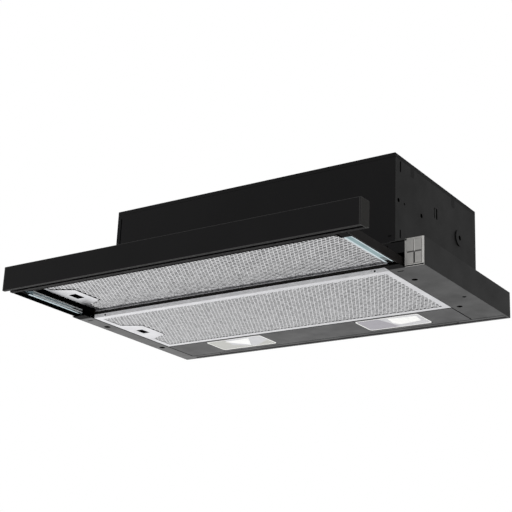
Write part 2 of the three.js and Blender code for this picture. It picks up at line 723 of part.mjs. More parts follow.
// The left flap. Its own knuckles and the other flap's take turns along the pin.
function flap(phase) {
  const gap = SEAT_GAP;
  const clear = knuckleRadius + gap;
  const half = FLAP_THICKNESS / 2;
  const disc = rod("z", -half, half, [0, 0], flapRadius, 40);
  const keepLeft = block([-flapRadius - 1, -clear], [-flapRadius - 1, flapRadius + 1], [-1, 1]);
  let solid = disc.intersect(keepLeft);
  const pitch = KNUCKLE_LENGTH;
  const count = Math.floor((flapRadius - KNUCKLE_LENGTH) / pitch) * 2;
  for (let i = 0; i < count; i += 1) {
    if (i % 2 !== phase) continue;
    const start = (i - count / 2) * pitch + gap / 2;
    const end = start + pitch - gap;
    const tube = rod("y", start, end, [0, 0], knuckleRadius, 12);
    const web = block([-clear - 1, 0], [start, end], [-half, half]);
    solid = join(solid, tube, web);
  }
  return cut(solid, rod("y", -flapRadius - 1, flapRadius + 1, [0, 0], FLAP_PIN_RADIUS + gap, 12));
}

function flaps() {
  const place = [0, outletY, flapZ];
  const pinHalf = collarInside - SEAT_GAP;
  const pin = rod("y", -pinHalf, pinHalf, [0, 0], FLAP_PIN_RADIUS, 12);
  piece(casing, "flap_hinge_pin", pin, zinc, place);
  piece(casing, "non_return_flap_left", flap(0), blackPlastic, place);
  piece(casing, "non_return_flap_right", mirrored(flap(1)), blackPlastic, place);
}

outletCollar();
flaps();

// ---------------------------------------------------------------------------------------------
// Blower
// ---------------------------------------------------------------------------------------------

const blower = assembly();
blower.position.set(0, outletY, fanZ);
const scrollInsideX = IMPELLER_LENGTH / 2 + SCROLL_SIDE_GAP;
const scrollOutsideX = scrollInsideX + SCROLL_WALL;
const neckTop = casingInnerTop - fanZ;

// The scroll widens steadily round the impeller, towards the outlet at the top.
function scrollOutline(offset) {
  const points = [];
  const steps = 36;
  for (let i = 0; i < steps; i += 1) {
    const share = i / steps;
    const angle = Math.PI / 4 - 2 * Math.PI * share;
    const radius = SCROLL_START + SCROLL_GROWTH * share + offset;
    points.push([radius * Math.cos(angle), radius * Math.sin(angle)]);
  }
  return points.reverse();
}

function blowerHousing() {
  const neck = collarInside + SEAT_GAP;
  const neckOut = neck + SCROLL_WALL;
  const flangeOut = neckOut + NECK_BORDER;
  const shoulder = INLET_RADIUS + BRACKET_REST + BRACKET_RING + 4;
  const outside = join(
    prism("x", -scrollOutsideX, scrollOutsideX, scrollOutline(SCROLL_WALL)),
    block([-scrollOutsideX, scrollOutsideX], [-neckOut, neckOut], [NECK_FOOT, neckTop]),
    block([-neckOut, neckOut], [-neckOut, neckOut], [shoulder, neckTop]),
    block([-flangeOut, flangeOut], [-flangeOut, flangeOut], [neckTop - SCROLL_WALL, neckTop]),
  );
  const inside = join(
    prism("x", -scrollInsideX, scrollInsideX, scrollOutline(0)),
    block([-scrollInsideX, scrollInsideX], [-neck, neck], [NECK_FOOT + SCROLL_WALL, neckTop + 1]),
    block([-neck, neck], [-neck, neck], [shoulder + SCROLL_WALL, neckTop + 1]),
  );
  const inlets = rod("x", -neckOut - 1, neckOut + 1, [0, 0], INLET_RADIUS, 32);
  piece(blower, "blower_housing", cut(outside, inside, inlets), blackPlastic);
}

// A double-inlet drum: a disc in the middle, blades to both sides and a ring at each end.
function impeller() {
  const half = IMPELLER_LENGTH / 2;
  const bladeRoot = IMPELLER_RADIUS - BLADE_DEPTH;
  const disc = rod("x", -IMPELLER_DISC / 2, IMPELLER_DISC / 2, [0, 0], IMPELLER_RADIUS - 1, 32);
  const hub = rod("x", -HUB_REACH, IMPELLER_DISC, [0, 0], HUB_RADIUS, 16);
  const rings = [-half, half - IMPELLER_RING].map((start) =>
    ring("x", start, start + IMPELLER_RING, [0, 0], bladeRoot + 2, IMPELLER_RADIUS, 32),
  );
  const blades = [];
  for (let i = 0; i < BLADE_COUNT; i += 1) {
    const blade = new THREE.BoxGeometry(
      IMPELLER_LENGTH - IMPELLER_RING,
      BLADE_THICKNESS,
      BLADE_DEPTH - 1,
    );
    blade.rotateX(Math.PI / 6);
    blade.translate(0, 0, bladeRoot + BLADE_DEPTH / 2);
    blade.rotateX((2 * Math.PI * i) / BLADE_COUNT);
    blades.push(toSolid(blade));
  }
  const bore = rod("x", -half, half, [0, 0], SHAFT_RADIUS + SEAT_GAP / 3, 16);
  const wheel = cut(join(disc, hub, ...rings, ...blades), bore);
  piece(blower, "impeller", wheel, greyPlastic);
}

function motor() {
  const end = MOTOR_START + MOTOR_LENGTH;
  const shaftEnd = MOTOR_START + SHAFT_IN_MOTOR;
  const shaft = rod("x", -SHAFT_REACH, shaftEnd, [0, 0], SHAFT_RADIUS, 16);
  piece(blower, "motor_shaft", shaft, motorSteel);
  const can = join(
    rod("x", MOTOR_START, end, [0, 0], MOTOR_RADIUS, 32),
    rod("x", MOTOR_START - MOTOR_BOSS, end + MOTOR_BOSS, [0, 0], HUB_RADIUS, 16),
  );
  const bore = rod("x", 0, shaftEnd + SEAT_GAP, [0, 0], SHAFT_RADIUS + SEAT_GAP, 16);
  piece(blower, "motor", cut(can, bore), motorSteel);
}

// Three arms hold the motor in the middle of the right inlet.
function motorBracket() {
  const from = scrollOutsideX;
  const to = from + BRACKET_THICKNESS;
  const innerFrom = MOTOR_RADIUS + SEAT_GAP;
  const innerTo = innerFrom + BRACKET_RING;
  const outerFrom = INLET_RADIUS + BRACKET_REST;
  const outerTo = outerFrom + BRACKET_RING;
  const arms = [];
  for (let i = 0; i < 3; i += 1) {
    // An arm ends in the middle of the outer ring and starts in the inner one.
    const [armFrom, armTo] = [innerFrom + 1, (outerFrom + outerTo) / 2];
    const arm = new THREE.BoxGeometry(BRACKET_THICKNESS, BRACKET_ARM, armTo - armFrom);
    arm.translate((from + to) / 2, 0, (armFrom + armTo) / 2);
    arm.rotateX((2 * Math.PI * i) / 3 + Math.PI);
    arms.push(toSolid(arm));
  }
  const solid = join(
    ring("x", from, to, [0, 0], innerFrom, innerTo, 32),
    ring("x", from, to, [0, 0], outerFrom, outerTo, 32),
    ...arms,
  );
  const opening = rod("x", from - 1, to + 1, [0, 0], innerFrom, 32);
  piece(blower, "motor_bracket", cut(solid, opening), zinc);
}

blowerHousing();
impeller();
motor();
motorBracket();

// ---------------------------------------------------------------------------------------------
// Electrics
// ---------------------------------------------------------------------------------------------

const electrics = assembly();
const boxMiddle = grommetY + BOX_OFFSET;
const boxY = [boxMiddle - BOX_DEPTH / 2, boxMiddle + BOX_DEPTH / 2];
const notchY = [boxY[0] + CABLE_NOTCH_START, boxY[0] + CABLE_NOTCH_START + CABLE_NOTCH];
const boxZ = [BOX_BOTTOM, BOX_BOTTOM + BOX_HEIGHT];
const boxLeft = boxRight - BOX_WIDTH;

function electricalBox() {
  const outside = block([boxLeft, boxRight], boxY, boxZ);
  const inside = block(
    [boxLeft - 1, boxRight - BOX_WALL],
    [boxY[0] + BOX_WALL, boxY[1] - BOX_WALL],
    [boxZ[0] + BOX_WALL, boxZ[1] - BOX_WALL],
  );
  const inlet = rod(
    "x",
    boxRight - BOX_WALL - 1,
    boxRight + 1,
    [grommetY, GROMMET_Z],
    GROMMET_SLEEVE + SEAT_GAP,
    20,
  );
  // A notch in the lower front edge lets the cables out.
  const notch = block(
    [boxLeft - 1, boxLeft + 4 * CABLE_RADIUS],
    notchY,
    [boxZ[0] - 1, boxZ[0] + BOX_WALL + 1],
  );
  piece(electrics, "electrical_box", cut(outside, inside, inlet, notch), whitePlastic);
  const cover = block([boxLeft - BOX_WALL, boxLeft], boxY, boxZ);
  piece(electrics, "electrical_box_cover", cover, whitePlastic);
}

function capacitor() {
  const floor = boxZ[0] + BOX_WALL + SEAT_GAP;
  const centre = [boxLeft + BOX_WIDTH / 2, floor + CAPACITOR_RADIUS];
  const start = boxY[0] + CAPACITOR_START;
  const can = rod("y", start, start + CAPACITOR_LENGTH, centre, CAPACITOR_RADIUS, 20);
  piece(electrics, "capacitor", can, whitePlastic);
}

// A rubber grommet in the right side panel, where the mains lead comes in.
function cableGrommet() {
  const at = [grommetY, GROMMET_Z];
  const flange = rod("x", casingRight, casingRight + GROMMET_PROUD, at, GROMMET_RADIUS, 20);
  const sleeve = rod("x", boxRight - BOX_WALL, casingRight + 0.5, at, GROMMET_SLEEVE, 20);
  const bore = rod("x", boxRight - BOX_WALL - 1, casingRight + GROMMET_PROUD + 1, at, GROMMET_BORE, 12);
  piece(electrics, "cable_grommet", cut(join(flange, sleeve), bore), rubber);
}

// The lamps' driver hangs on the inside of the rear panel.
function lampDriver() {
  const rear = casingRear - CASING_SHEET;
  const x = lampCentres[0] + LAMP_LENGTH / 2;
  const body = block(
    [x - DRIVER_LENGTH, x],
    [rear - DRIVER_DEPTH, rear],
    [DRIVER_BOTTOM, DRIVER_BOTTOM + DRIVER_HEIGHT],
  );
  piece(electrics, "lamp_driver", body, whitePlastic);
}

// A round cable along a smooth curve through hand-picked points.
function cable(name, points, steps) {
  const curve = new THREE.CatmullRomCurve3(points.map((p) => new THREE.Vector3(...p)));
  const section = new THREE.Shape();
  for (let i = 0; i < 8; i += 1) {
    const angle = (2 * Math.PI * i) / 8;
    const x = CABLE_RADIUS * Math.cos(angle);
    const y = CABLE_RADIUS * Math.sin(angle);
    if (i === 0) section.moveTo(x, y);
    else section.lineTo(x, y);
  }
  const geometry = new THREE.ExtrudeGeometry(section, { steps, extrudePath: curve });
  piece(electrics, name, toSolid(geometry), rubber);
}

electricalBox();
capacitor();
cableGrommet();
lampDriver();

// ---------------------------------------------------------------------------------------------
// Push-button control at the right front corner of the frame
// ---------------------------------------------------------------------------------------------

const control = assembly();
const bezelX = [controlLeft, frameRight];
const boxInX = [controlLeft + RUN_GAP / 2, frameRight - FRAME_SHEET - SEAT_GAP];
const boxInZ = [FRAME_SHEET + SEAT_GAP, FRAME_HEIGHT - FRAME_SHEET - SEAT_GAP];
const buttonWidth = (CONTROL_WIDTH - 2 * BEZEL_BORDER - BEZEL_BAR) / 2;
const buttonHeight = (FRAME_HEIGHT - 2 * BEZEL_BORDER - BEZEL_BAR) / 2;

// Centres of the four buttons, from the lower left to the upper right.
function buttonCentres() {
  const centres = [];
  for (const row of [0, 1]) {
    for (const column of [0, 1]) {
      const x = bezelX[0] + BEZEL_BORDER + buttonWidth / 2 + column * (buttonWidth + BEZEL_BAR);
      const z = BEZEL_BORDER + buttonHeight / 2 + row * (buttonHeight + BEZEL_BAR);
      centres.push([x, z]);
    }
  }
  return centres;
}

function bezel(centres) {
  const plate = block(bezelX, [-BEZEL_THICKNESS, 0], [0, FRAME_HEIGHT]);
  const holes = centres.map(([x, z]) =>
    block(
      [x - buttonWidth / 2, x + buttonWidth / 2],
      [-BEZEL_THICKNESS - 1, 1],
      [z - buttonHeight / 2, z + buttonHeight / 2],
    ),
  );
  piece(control, "control_bezel", cut(plate, ...holes), greyPlastic);
}

function controlBox() {
  const outside = block(boxInX, [0, CONTROL_DEPTH], boxInZ);
  const inside = block(
    [boxInX[0] + CONTROL_WALL, boxInX[1] - CONTROL_WALL],
    [-1, CONTROL_DEPTH - CONTROL_WALL],
    [boxInZ[0] + CONTROL_WALL, boxInZ[1] - CONTROL_WALL],
  );
  piece(control, "control_box", cut(outside, inside), blackPlastic);
}

function controlButtons(centres) {
  const width = buttonWidth / 2 - SEAT_GAP;
  const height = buttonHeight / 2 - SEAT_GAP;
  const front = -BEZEL_THICKNESS - BUTTON_PROUD;
  const rear = front + BUTTON_DEPTH;
  const stemEnd = rear + BUTTON_STEM;
  const cap = block([-width, width], [front, rear], [-height, height]);
  const half = BUTTON_STEM_WIDTH / 2;
  const stem = block([-half, half], [rear - 1, stemEnd], [-half, half]);
  centres.forEach(([x, z], i) => {
    piece(control, `control_button_${i + 1}`, join(cap, stem), greyPlastic, [x, 0, z]);
  });
  const boardFront = stemEnd + BUTTON_TRAVEL + SEAT_GAP;
  const board = block(
    [boxInX[0] + CONTROL_WALL + SEAT_GAP, boxInX[1] - CONTROL_WALL - SEAT_GAP],
    [boardFront, boardFront + BOARD_THICKNESS],
    [boxInZ[0] + CONTROL_WALL + SEAT_GAP, boxInZ[1] - CONTROL_WALL - SEAT_GAP],
  );
  piece(control, "control_board", board, boardGreen);
}

bezel(buttonCentres());
controlBox();
controlButtons(buttonCentres());

// The control's cable runs back beside the right slide, round behind the drawer's end and up
// to the electrical box.
const cableX = (controlLeft + frameRight) / 2;
const cableRearY = (openingRear + FRAME_DEPTH) / 2;
const cableBoxX = boxLeft + 3 * CABLE_RADIUS;
const cableBoxY = notchY[0] + 2 * CABLE_RADIUS;
const r = CABLE_RADIUS;
cable(
  "control_cable",
  [
    [cableX, CONTROL_DEPTH + SEAT_GAP, CONTROL_CABLE_Z],
    [cableX, CONTROL_DEPTH + 12 * r, CONTROL_CABLE_Z],
    [cableX, openingRear - 9 * r, CONTROL_CABLE_Z],
    [cableX - 2.4 * r, openingRear - 1.6 * r, CONTROL_CABLE_Z + 0.4 * r],
    [cableX - 12 * r, cableRearY, CONTROL_CABLE_Z + 1.2 * r],
    [cableX - 22 * r, cableRearY - 1.6 * r, CONTROL_CABLE_Z + 2.8 * r],
    [cableBoxX + 5.6 * r, openingRear - 3.2 * r, boxZ[0] - 7.2 * r],
    [cableBoxX + 0.8 * r, cableBoxY + 7.2 * r, boxZ[0] - 3.6 * r],
    [cableBoxX, cableBoxY, boxZ[0] - SEAT_GAP],
  ],
  40,
);

// The motor's cable goes from the motor's end to the electrical box's cover.
const motorEnd = MOTOR_START + MOTOR_LENGTH;
cable(
  "motor_cable",
  [
    [motorEnd + SEAT_GAP, outletY + 7.2 * r, fanZ],
    [motorEnd + 6.4 * r, outletY + 7.6 * r, fanZ],
    [boxLeft - 24 * r, outletY + 13.6 * r, fanZ - 6.4 * r],
    [boxLeft - 12 * r, grommetY - 4.8 * r, fanZ - 5.6 * r],
    [boxLeft - BOX_WALL - 5.6 * r, grommetY, fanZ - 3.2 * r],
    [boxLeft - BOX_WALL - SEAT_GAP, grommetY, fanZ - 3.2 * r],
  ],
  24,
);

// ---------------------------------------------------------------------------------------------
// Drawer switch
// ---------------------------------------------------------------------------------------------

function drawerSwitch() {
  const x = (drawerInnerRight + drawerRight) / 2;
  const z = SWITCH_BOTTOM + SWITCH_HEIGHT / 2;
  const half = PLUNGER_SIZE / 2;
  const wide = half + SEAT_GAP;
  const plungerRear = switchFront + 2 * PLUNGER_TRAVEL;
  const body = block(
    [x - SWITCH_WIDTH / 2, x + SWITCH_WIDTH / 2],
    [switchFront, switchRear],
    [SWITCH_BOTTOM, SWITCH_BOTTOM + SWITCH_HEIGHT],
  );
  const socket = block(
    [x - wide, x + wide],
    [switchFront - 1, plungerRear + PLUNGER_TRAVEL + SEAT_GAP],
    [z - wide, z + wide],
  );
  piece(frame, "drawer_switch", cut(body, socket), blackPlastic);
  const plunger = block([x - half, x + half], [plungerFront, plungerRear], [z - half, z + half]);
  piece(frame, "drawer_switch_plunger", plunger, whitePlastic);
}

drawerSwitch();

// ---------------------------------------------------------------------------------------------
// Drawer: fascia, side channels and cross members
// ---------------------------------------------------------------------------------------------

const drawer = assembly();

function fasciaShape() {
  const groove = fasciaFront + FASCIA_NOSE;
  const heel = groove + FASCIA_GROOVE_WIDTH;
  return [
    [fasciaFront, 0],
    [groove, 0],
    [groove, FASCIA_GROOVE_DEPTH],
    [heel, FASCIA_GROOVE_DEPTH],
    [heel, FASCIA_HEEL],
    [fasciaRear, FASCIA_HEEL],
    [fasciaRear, FASCIA_HEIGHT],
    [fasciaFront, FASCIA_HEIGHT],
  ];
}

function fascia() {
  const capLeft = frameLeft + END_CAP;
  const capRight = frameRight - END_CAP;
  const hollowFloor = FASCIA_GROOVE_DEPTH + FASCIA_WALL;
  const hollow = [
    [fasciaFront + FASCIA_WALL, hollowFloor],
    [fasciaRear - FASCIA_WALL, hollowFloor],
    [fasciaRear - FASCIA_WALL, FASCIA_HEIGHT - FASCIA_WALL],
    [fasciaFront + FASCIA_WALL, FASCIA_HEIGHT - FASCIA_WALL],
  ];
  const profile = cut(
    prism("x", capLeft, capRight, fasciaShape()),
    prism("x", capLeft - 1, capRight + 1, hollow),
  );
  piece(drawer, "fascia", profile, blackPaint);
  const plate = prism("x", capRight, frameRight, fasciaShape());
  const plug = block(
    [capRight - END_CAP_PLUG, capRight + 1],
    [fasciaFront + FASCIA_WALL + SEAT_GAP, fasciaRear - FASCIA_WALL - SEAT_GAP],
    [hollowFloor + SEAT_GAP, FASCIA_HEIGHT - FASCIA_WALL - SEAT_GAP],
  );
  const cap = join(plate, plug);
  piece(drawer, "fascia_end_cap_right", cap, blackPlastic);
  piece(drawer, "fascia_end_cap_left", mirrored(cap), blackPlastic);
}

// A side channel of the drawer. Its shelf joins a low outer wall, which carries the slide, to an
// inner wall beside the filter. lip is how far the inner wall reaches down below the shelf.
function sideChannel(outerFace, inwards, width, lip) {
  // A bar between two distances from the outer wall's outside.
  const bar = (from, to, bottom, top) => {
    const corners = [[from, bottom], [to, bottom], [to, top], [from, top]];
    return prism("y", fasciaRear, channelRear, corners.map(([u, v]) => [outerFace + inwards * u, v]));
  };
  return join(
    bar(0, CHANNEL_SHEET, CHANNEL_OUTER_BOTTOM, drawerShelf),
    bar(0, width, CHANNEL_WEB, drawerShelf),
    bar(width - CHANNEL_SHEET, width, CHANNEL_WEB - lip, drawerTop),
  );
}

function drawerFrame() {
  const right = sideChannel(drawerRight, -1, RIGHT_CHANNEL_WIDTH, 0);
  const left = sideChannel(drawerLeft, 1, LEFT_CHANNEL_WIDTH, LEFT_CHANNEL_LIP);
  piece(drawer, "drawer_right_channel", right, drawerPaint);
  piece(drawer, "drawer_left_channel", left, drawerPaint);
  const across = [drawerInnerLeft, drawerInnerRight];
  // The front rail is a folded U, open at the bottom.
  const railOutside = [fasciaRear, fasciaRear + FRONT_RAIL_DEPTH];
  const railInside = [railOutside[0] + CHANNEL_SHEET, railOutside[1] - CHANNEL_SHEET];
  const rail = cut(
    block(across, railOutside, [FRONT_RAIL_BOTTOM, drawerTop]),
    block([across[0] - 1, across[1] + 1], railInside, [0, drawerTop - CHANNEL_SHEET]),
  );
  piece(drawer, "drawer_front_rail", rail, drawerPaint);
  const bar = prism("x", across[0], across[1], [
    [crossbarFront, CROSSBAR_BOTTOM],
    [crossbarFront + CROSSBAR_DEPTH, CROSSBAR_BOTTOM],
    [crossbarFront + CROSSBAR_DEPTH, CROSSBAR_BOTTOM + CHANNEL_SHEET],
    [crossbarFront + CHANNEL_SHEET, CROSSBAR_BOTTOM + CHANNEL_SHEET],
    [crossbarFront + CHANNEL_SHEET, drawerTop - CHANNEL_SHEET],
    [crossbarFront + CROSSBAR_DEPTH, drawerTop - CHANNEL_SHEET],
    [crossbarFront + CROSSBAR_DEPTH, drawerTop],
    [crossbarFront, drawerTop],
  ]);
  piece(drawer, "drawer_rear_crossbar", bar, drawerPaint);
}

fascia();
drawerFrame();

// ---------------------------------------------------------------------------------------------
// Telescopic slides: each has a fixed, a middle and a drawer member
// ---------------------------------------------------------------------------------------------

// The members' sections are drawn inwards from the drawer member's back. Each member lies
// within the one before it, a wall and a gap smaller all round.
const slideStep = SLIDE_WALL + SEAT_GAP;
const slideBottom = CHANNEL_WEB - SLIDE_HEIGHT;
const middleDepth = SLIDE_DEPTH - slideStep;

// A C that hangs under the shelf, open inwards, with lips that keep the middle member in.
function drawerMember() {
  const floor = slideBottom + SLIDE_WALL;
  const roof = CHANNEL_WEB - SLIDE_WALL;
  const mouth = SLIDE_DEPTH - SLIDE_WALL;
  return [
    [0, slideBottom],
    [SLIDE_DEPTH, slideBottom],
    [SLIDE_DEPTH, floor + SLIDE_LIP],
    [mouth, floor + SLIDE_LIP],
    [mouth, floor],
    [SLIDE_WALL, floor],
    [SLIDE_WALL, roof],
    [mouth, roof],
    [mouth, roof - SLIDE_LIP],
    [SLIDE_DEPTH, roof - SLIDE_LIP],
    [SLIDE_DEPTH, CHANNEL_WEB],
    [0, CHANNEL_WEB],
  ];
}

// A C without lips, between the drawer member's flanges.
function middleMember() {
  const bottom = slideBottom + slideStep;
  const top = CHANNEL_WEB - slideStep;
  return [
    [slideStep, bottom],
    [middleDepth, bottom],
    [middleDepth, bottom + SLIDE_WALL],
    [slideStep + SLIDE_WALL, bottom + SLIDE_WALL],
    [slideStep + SLIDE_WALL, top - SLIDE_WALL],
    [middleDepth, top - SLIDE_WALL],
    [middleDepth, top],
    [slideStep, top],
  ];
}

// A head within the middle member, on an arm, a leg and a foot that stands on the frame's flange.
function fixedMember() {
  const head = 2 * slideStep;
  const headBottom = slideBottom + 2 * slideStep;
  const headTop = CHANNEL_WEB - 2 * slideStep;
  const armBottom = (headBottom + headTop - SLIDE_WALL) / 2;
  const armTop = armBottom + SLIDE_WALL;
  const leg = SLIDE_DEPTH + SEAT_GAP;
  const footTop = FRAME_SHEET + FIXED_FOOT_SHEET;
  return [
    [head, headBottom],
    [head + SLIDE_WALL, headBottom],
    [head + SLIDE_WALL, armBottom],
    [leg, armBottom],
    [leg, footTop],
    [head, footTop],
    [head, FRAME_SHEET],
    [leg + SLIDE_WALL, FRAME_SHEET],
    [leg + SLIDE_WALL, armTop],
    [head + SLIDE_WALL, armTop],
    [head + SLIDE_WALL, headTop],
    [head, headTop],
  ];
}

function slide(side, outerFace, inwards) {
  const back = outerFace + inwards * (CHANNEL_SHEET + SLIDE_STANDOFF);
  const bar = (start, length, section) =>
    prism("y", start, start + length, section.map(([u, v]) => [back + inwards * u, v]));
  const fixed = bar(SLIDE_START, FIXED_LENGTH, fixedMember());
  const middle = bar(-MIDDLE_REACH, MIDDLE_LENGTH, middleMember());
  const moving = bar(fasciaRear + DRAWER_MEMBER_START, DRAWER_MEMBER_LENGTH, drawerMember());
  piece(frame, `slide_fixed_member_${side}`, fixed, zinc);
  piece(drawer, `slide_middle_member_${side}`, middle, darkSteel);
  piece(drawer, `slide_drawer_member_${side}`, moving, zinc);
}

slide("left", drawerLeft, 1);
slide("right", drawerRight, -1);

// ---------------------------------------------------------------------------------------------
// Grease filters: a folded rim with a latch plate, a mesh pack and a latch
// ---------------------------------------------------------------------------------------------

// The latch plate narrows from the rim towards the mesh. The mesh's notch is smaller by inset,
// so that the mesh lies on the plate's edges.
function latchPlateOutline(left, middle, inset) {
  const long = LATCH_PLATE_LONG / 2 - inset;
  const short = LATCH_PLATE_SHORT / 2 - inset;
  const root = left + FILTER_RIM;
  const tip = root + LATCH_PLATE_REACH - inset;
  return [
    [left + FILTER_SHEET, middle - long],
    [root, middle - long],
    [tip, middle - short],
    [tip, middle + short],
    [root, middle + long],
    [left + FILTER_SHEET, middle + long],
  ];
}

// x, y and bottom give the filter's outside. lip is how far its rear edge is folded down.
function filterFrame({ x, y, bottom, lip }) {
  const top = bottom + FILTER_HEIGHT;
  const rim = FILTER_RIM;
  const middle = (y[0] + y[1]) / 2;
  const outside = block(x, y, [bottom, top]);
  const cavity = block(
    [x[0] + FILTER_SHEET, x[1] - FILTER_SHEET],
    [y[0] + FILTER_SHEET, y[1] - FILTER_SHEET],
    [bottom + FILTER_SHEET, top - FILTER_SHEET],
  );
  const window = block(
    [x[0] + rim, x[1] - rim],
    [y[0] + rim, y[1] - rim],
    [bottom - 1, bottom + FILTER_SHEET + 1],
  );
  const upperWindow = block(
    [x[0] + FILTER_TOP_RIM, x[1] - FILTER_TOP_RIM],
    [y[0] + FILTER_TOP_RIM, y[1] - FILTER_TOP_RIM],
    [top - FILTER_SHEET - 1, top + 1],
  );
  const plate = prism("z", bottom, bottom + FILTER_SHEET, latchPlateOutline(x[0], middle, 0));
  const openingX = latchOpeningX(x[0]);
  const opening = block(
    openingX,
    [middle - LATCH_OPENING_LENGTH / 2, middle + LATCH_OPENING_LENGTH / 2],
    [bottom - 1, bottom + FILTER_SHEET + 1],
  );
  const tongueWay = block(
    [x[0] - 1, x[0] + FILTER_SHEET + 1],
    [middle - LATCH_OPENING_LENGTH / 2, middle + LATCH_OPENING_LENGTH / 2],
    [bottom + FILTER_SHEET, bottom + FILTER_HEIGHT - 2 * FILTER_SHEET],
  );
  const drains = [-1, 1].map((side) => {
    const centre = (x[0] + x[1]) / 2;
    const at = centre + side * ((x[1] - x[0]) / 2 - DRAIN_HOLE_INSET);
    return rod("y", y[0] - 1, y[0] + 2, [at, bottom + FILTER_HEIGHT / 2], DRAIN_HOLE_RADIUS, 10);
  });
  const tabs = [-1, 1].map((side) => {
    const at = middle + (side * (y[1] - y[0])) / 4;
    const tabZ = bottom + FILTER_SHEET + SEAT_GAP;
    return block(
      [x[1] - FILTER_SHEET / 2, x[1] + FILTER_TAB_LENGTH],
      [at - FILTER_TAB_WIDTH / 2, at + FILTER_TAB_WIDTH / 2],
      [tabZ, tabZ + FILTER_TAB_HEIGHT],
    );
  });
  let solid = join(cut(outside, cavity, window, upperWindow), plate);
  solid = join(cut(solid, opening, tongueWay, ...drains), ...tabs);
  if (lip > 0) {
    const lipY = [y[1] - FRONT_FILTER_LIP_DEPTH, y[1]];
    solid = join(solid, block(x, lipY, [bottom - lip, bottom + FILTER_SHEET]));
  }
  return solid;
}

function latchOpeningX(left) {
  const centre = left + FILTER_RIM + LATCH_OPENING_INSET;
  return [centre - LATCH_OPENING_WIDTH / 2, centre + LATCH_OPENING_WIDTH / 2];
}

function filterMesh({ x, y, bottom }) {
  const gap = FILTER_SHEET + SEAT_GAP;
  const middle = (y[0] + y[1]) / 2;
  const floor = bottom + FILTER_SHEET;
  const pack = block(
    [x[0] + gap, x[1] - gap],
    [y[0] + gap, y[1] - gap],
    [floor, floor + MESH_THICKNESS],
  );
  const outline = latchPlateOutline(x[0], middle, 2 * FILTER_SHEET);
  return cut(pack, prism("z", bottom, bottom + FILTER_HEIGHT, outline));
}

// A slide behind the latch plate: its tongue points left and its thumb pad fills the opening.
function filterLatch({ x, y, bottom }, tongueEnd) {
  const middle = (y[0] + y[1]) / 2;
  const opening = latchOpeningX(x[0]);
  const half = LATCH_OPENING_LENGTH / 2 - SEAT_GAP;
  const floor = bottom + FILTER_SHEET + SEAT_GAP;
  const top = bottom + FILTER_HEIGHT - 2 * FILTER_SHEET - SEAT_GAP;
  const slider = block([tongueEnd, opening[1] + LATCH_TRAVEL], [middle - half, middle + half], [floor, top]);
  const pad = block(
    [opening[0] + SEAT_GAP, opening[1] - LATCH_TRAVEL - SEAT_GAP],
    [middle - half, middle + half],
    [bottom + SEAT_GAP, top],
  );
  return join(slider, pad);
}

function filter(group, name, place, tongueEnd) {
  piece(group, `${name}_frame`, filterFrame(place), aluminium);
  piece(group, `${name}_mesh`, filterMesh(place), meshAluminium);
  piece(group, `${name}_latch`, filterLatch(place, tongueEnd), blackPlastic);
}

filter(
  drawer,
  "front_filter",
  {
    x: [frontFilterLeft, frontFilterRight],
    y: [frontFilterFront, frontFilterRear],
    bottom: FRONT_FILTER_BOTTOM,
    lip: FRONT_FILTER_LIP,
  },
  drawerInnerLeft + SEAT_GAP,
);
filter(
  frame,
  "rear_filter",
  {
    x: [rearFilterLeft, rearFilterRight],
    y: [REAR_FILTER_FRONT, rearFilterRear],
    bottom: 0,
    lip: 0,
  },
  openingLeft + SEAT_GAP,
);

// The origin lies under the middle of the hood, between the fascia's front and the frame's rear.
hood.position.y = -(fasciaFront + FRAME_DEPTH) / 2;

export default hood;
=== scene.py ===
import json
import math
import random

import bmesh
import bpy
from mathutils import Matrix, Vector


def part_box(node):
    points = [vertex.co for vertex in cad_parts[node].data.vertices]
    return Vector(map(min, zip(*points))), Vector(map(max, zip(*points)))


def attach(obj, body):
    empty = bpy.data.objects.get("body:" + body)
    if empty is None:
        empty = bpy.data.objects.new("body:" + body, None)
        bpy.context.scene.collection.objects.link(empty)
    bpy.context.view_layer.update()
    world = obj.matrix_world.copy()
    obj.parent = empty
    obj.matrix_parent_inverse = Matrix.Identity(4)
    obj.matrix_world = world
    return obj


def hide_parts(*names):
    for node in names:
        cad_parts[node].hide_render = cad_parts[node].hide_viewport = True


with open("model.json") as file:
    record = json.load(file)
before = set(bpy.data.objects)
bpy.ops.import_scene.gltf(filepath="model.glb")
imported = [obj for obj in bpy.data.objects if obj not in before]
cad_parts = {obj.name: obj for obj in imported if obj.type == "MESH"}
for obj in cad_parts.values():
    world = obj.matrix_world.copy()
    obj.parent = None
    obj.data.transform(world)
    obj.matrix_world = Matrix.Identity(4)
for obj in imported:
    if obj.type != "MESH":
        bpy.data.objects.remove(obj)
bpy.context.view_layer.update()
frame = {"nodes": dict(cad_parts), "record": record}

# Sizes in the helpers below are millimetres about the lower frame's front bottom edge, as in the
# part's source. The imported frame's origin lies ROW_Y behind that edge.
MM = 0.001
ROW_Y = 56

NODES = frame["nodes"]
SLOT_OF = {part["node"]: part["material_slot"] for part in frame["record"]["subparts"]}


def at(x, y, z):
    """A place in metres, from one in build millimetres."""
    return Vector((x * MM, (y - ROW_Y) * MM, z * MM))


def node_box(name):
    """((x0, x1), (y0, y1), (z0, z1)) of a CAD node, in build millimetres."""
    low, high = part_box(name)
    return (
        (low.x / MM, high.x / MM),
        (low.y / MM + ROW_Y, high.y / MM + ROW_Y),
        (low.z / MM, high.z / MM),
    )


# ---------------------------------------------------------------------------------------------
# Camera
# ---------------------------------------------------------------------------------------------

